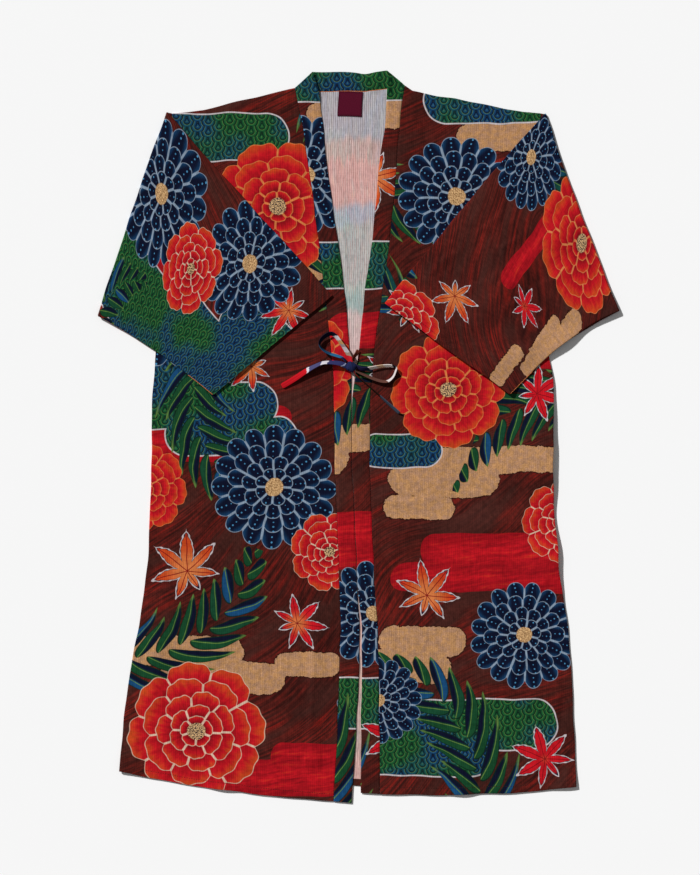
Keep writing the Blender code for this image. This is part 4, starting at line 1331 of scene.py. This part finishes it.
def sleeveRings(side, offset):
    # A flat loop of cloth carried from the armhole to the cuff: along the root, round the fold
    # line and out over the front. Its points keep their distance from the fold's axis.
    size = sleeves[side]
    shoulder, low, cuffLow, cuffTop = (
        np.array(size[key]) for key in ("shoulder", "low", "cuffLow", "cuffTop")
    )
    alongFold = (low - shoulder) / np.linalg.norm(low - shoulder)
    outwards = np.array([-alongFold[1], alongFold[0]])
    outwards *= np.sign(outwards[0]) * side
    shoulder = shoulder - outwards * foldAxis
    low = low - outwards * foldAxis

    seamDown = np.array([shoulderLine[sideNames[side]][0], size["seamEnd"]])
    seam = np.stack([bodyLine("side", side, seamDown) + side * jacket["gap"] / 2, seamDown], axis=-1)
    root = np.linspace(0.0, 1.0, sleeve["rootStations"])[:-1, None]
    turns = np.linspace(0.0, np.pi, sleeve["turnStations"])
    reach = np.linalg.norm(cuffTop - shoulder)
    folded = spread(reach, sleeve["step"], hemBorder)[1:, None]
    tops = np.concatenate([
        seam[0] + (shoulder - seam[0]) * root, np.repeat(shoulder[None], len(turns), axis=0),
        bowed(shoulder, cuffTop, folded, size["bowTop"], cuffLow),
    ])
    under = np.concatenate([
        bowed(seam[1], low, root, sleeve["rootBow"], seam[0]),
        np.repeat(low[None], len(turns), axis=0),
        bowed(low, cuffLow, folded, size["bowUnder"], cuffTop, sleeve["underSkew"]),
    ])
    angle = np.concatenate([np.zeros(len(root)), turns, np.full(len(folded), np.pi)])
    share = np.concatenate([root[:, 0], np.ones(len(turns)), 1 - folded[:, 0]])
    along = np.concatenate([
        (root[:, 0] - 1) * sleeve["rootLength"], turns / np.pi * sleeve["turnLength"],
        sleeve["turnLength"] + folded[:, 0] * reach,
    ])

    middle = (foldAxis + jacket["gap"] / 2) / 2  # radius half way between the loop's two layers
    half = middle - jacket["gap"] / 2  # from there to the outer skin
    near = half - offset  # from there to this skin
    width = np.linalg.norm(under - tops, axis=1)[:, None]
    longest = width.max()
    wTop = np.linspace(0.0, 1.0, int(longest / sleeve["step"]))
    wUnder = np.linspace(1.0, 0.0, int(longest / sleeve["underStep"]))
    bend = np.linspace(0.0, np.pi, sleeve["arcPoints"] + 2)[1:-1]
    s = np.concatenate([wTop, np.ones(len(bend)), wUnder, np.zeros(len(bend))])[None]
    poke = np.concatenate([
        np.zeros(len(wTop)), np.sin(bend), np.zeros(len(wUnder)), -np.sin(bend)])[None]
    layer = np.concatenate([
        np.ones(len(wTop)), np.cos(bend), -np.ones(len(wUnder)), -np.cos(bend)])[None]
    peek = softStep(share, *sleeve["peekAlong"])[:, None] * softStep(s, *sleeve["peekAcross"])
    peek = size["peek"] * peek
    w = (half + s * (width - 2 * half) + poke * near + peek * (1 - layer) / 2) / width
    radius = middle + near * layer
    turn = angle[:, None]
    bow = size["bowFold"] * share[:, None] * np.sin(np.pi * w)
    place = tops[:, None] + (under - tops)[:, None] * w[..., None]
    place = place + (radius * np.sin(turn) + bow)[..., None] * outwards
    x, down = place[..., 0], place[..., 1]
    x[0] = bodyLine("side", side, down[0]) + side * jacket["gap"] / 2
    z = foldAxis - radius * np.cos(turn) + lifted(x, down, sleeveLifts)
    flat = turn == np.pi
    fromCuff = np.concatenate([np.full(len(root) + len(turns), reach), (1 - folded[:, 0]) * reach])
    fromCuff = fromCuff[:, None] + np.zeros_like(x)
    onTop = np.clip(layer, 0.0, 1.0) * softStep(w * width, *sleeve["foldEdge"])
    seams = sleeve["hemPucker"] * puckered(np.abs(fromCuff - hem["width"]), x)
    seams = seams + puckered(w * width, along[:, None])
    fine = aboveLayer(creases(x, down, sleeveCreases) + cockled(x, down) + seams)
    raised = ridges(x, down, sleeveFolds) + onTop * fine
    raised = raised + size["cuffLift"] * (1 - softStep(fromCuff, 0.0, sleeve["cuffReach"]))
    if offset == 0.0:
        raised = raised + onTop * hemmed(fromCuff)
    z = z + np.where(flat, raised, 0.0)
    around = w * width * np.where(layer >= 0, 1.0, -1.0)
    uv = np.stack(np.broadcast_arrays(along[:, None], around), axis=-1)
    return points(x, down, z), uv


def addSleeve(side):
    # the outer and the inner skin of the loop, each closed round, joined at the armhole and cuff
    name = sideNames[side]
    outer, uv = sleeveRings(side, 0.0)
    inner, _ = sleeveRings(side, jacket["cloth"])
    stations, around = outer.shape[:2]
    out = np.arange(stations * around).reshape(stations, around)
    inn = out + stations * around
    ends = np.concatenate([
        quadStrips(np.stack([inn[0], out[0]]), closed=True),
        quadStrips(np.stack([out[-1], inn[-1]]), closed=True),
    ])
    quads = np.concatenate([quadStrips(out, True), turned(quadStrips(inn, True)), ends])
    vertices = np.concatenate([outer.reshape(-1, 3), inner.reshape(-1, 3)])
    slots = np.zeros(len(quads))
    count = (stations - 1) * around
    slots[count : 2 * count] = 1
    flat = uv.reshape(-1, 2)
    obj = addMesh(
        f"sleeve_{name}_cloth", vertices, outward(vertices, quads), np.concatenate([flat, flat]),
        [faceCloth[f"sleeve_{name}"], insideCloth], slots,
    )
    addPiece(obj, f"sleeve_{name}")
    # the hem's stitches, on the row of points that far from the cuff, and the thread that ends
    # the underarm seam at the cuff, where the loop of cloth turns under
    stitched = stations - 1 - hemBorder.index(hem["stitches"])
    onTop = np.flatnonzero(uv[-1, :, 1] > sleeve["stitchFrom"])
    sewn = outer[stitched, onTop[: -sleeve["stitchInset"]]]
    addStitches(f"cuff_stitches_{name}", sewn)
    bend = onTop[-2]
    fromCuff = np.linalg.norm(outer[:, bend] - outer[-1, bend], axis=1)
    seamEnd = outer[fromCuff < sleeve["endThread"], bend][: -sleeve["endInset"]]
    addThread(f"seam_end_thread_{name}", seamEnd, threads["seamRadius"])


def addLabel():  # a flat rectangle turned by its lean, its skins meeting round its edges
    size = (label["width"], label["height"])
    u, v = np.meshgrid(*[spread(s, label["step"], label["border"]) - 0.5 for s in size])
    lean = np.radians(label["lean"])
    across, along = u * size[0], v * size[1]
    x = label["middle"][0] + across * np.cos(lean) - along * np.sin(lean)
    down = label["middle"][1] + across * np.sin(lean) + along * np.cos(lean)
    near = np.minimum((0.5 - np.abs(u)) * size[0], (0.5 - np.abs(v)) * size[1])
    drop = label["edgeDrop"] * (1 - np.clip(near / label["border"][-1], 0.0, 1.0)) ** 2
    under = points(x, down, frontLayer + drop)
    over = points(x, down, frontLayer + label["cloth"] - drop)
    uv = np.stack([across, along], axis=-1)
    obj = clothWall("neck_label_weave", under, over, uv, labelCloth, labelCloth)
    addPiece(obj, "neck_label")


addBack()
addCollarNeck()
for bodySide in (left, right):
    addFront(bodySide)
    addCollarRun(bodySide)
    addSleeve(bodySide)
addLabel()
print("cloth made")

# Table and light
floor = dict(size=9000.0, color="f3f3f3", roughness=0.9)
light = dict(sun=4.72, sunAngle=3.0, comesFrom=(-1.0, 1.0), height=33.0, sky=0.21)


def tableTop():
    material = bpy.data.materials.new("tableTop")
    material.use_nodes = True
    shader = material.node_tree.nodes["Principled BSDF"]
    shader.inputs["Base Color"].default_value = linear(floor["color"])
    shader.inputs["Roughness"].default_value = floor["roughness"]
    return material


def addFloor():
    half = floor["size"] / 2
    corners = np.array([(-half, -half, 0.0), (half, -half, 0.0), (half, half, 0.0), (-half, half, 0.0)])
    quads = np.array([[0, 1, 2, 3]])
    obj = addMesh("table_top", corners, quads, corners[:, :2], [tableTop()])


def addLight():
    data = bpy.data.lights.new("studioKey", "SUN")
    data.energy = light["sun"]
    data.angle = np.radians(light["sunAngle"])
    obj = bpy.data.objects.new("studioKey", data)
    bpy.context.scene.collection.objects.link(obj)
    flat = Vector((*light["comesFrom"], 0.0)).normalized()
    angle = np.radians(light["height"])
    towards = flat * np.cos(angle) + Vector((0.0, 0.0, 1.0)) * np.sin(angle)
    obj.rotation_mode = "QUATERNION"
    obj.rotation_quaternion = towards.to_track_quat("Z", "Y")
    world = bpy.data.worlds.new("studioFill")
    world.use_nodes = True
    world.node_tree.nodes["Background"].inputs["Color"].default_value = (1.0, 1.0, 1.0, 1.0)
    world.node_tree.nodes["Background"].inputs["Strength"].default_value = light["sky"]
    bpy.context.scene.world = world


addFloor()
addLight()
bpy.context.scene.view_settings.view_transform = "Standard"
print("table and light set")
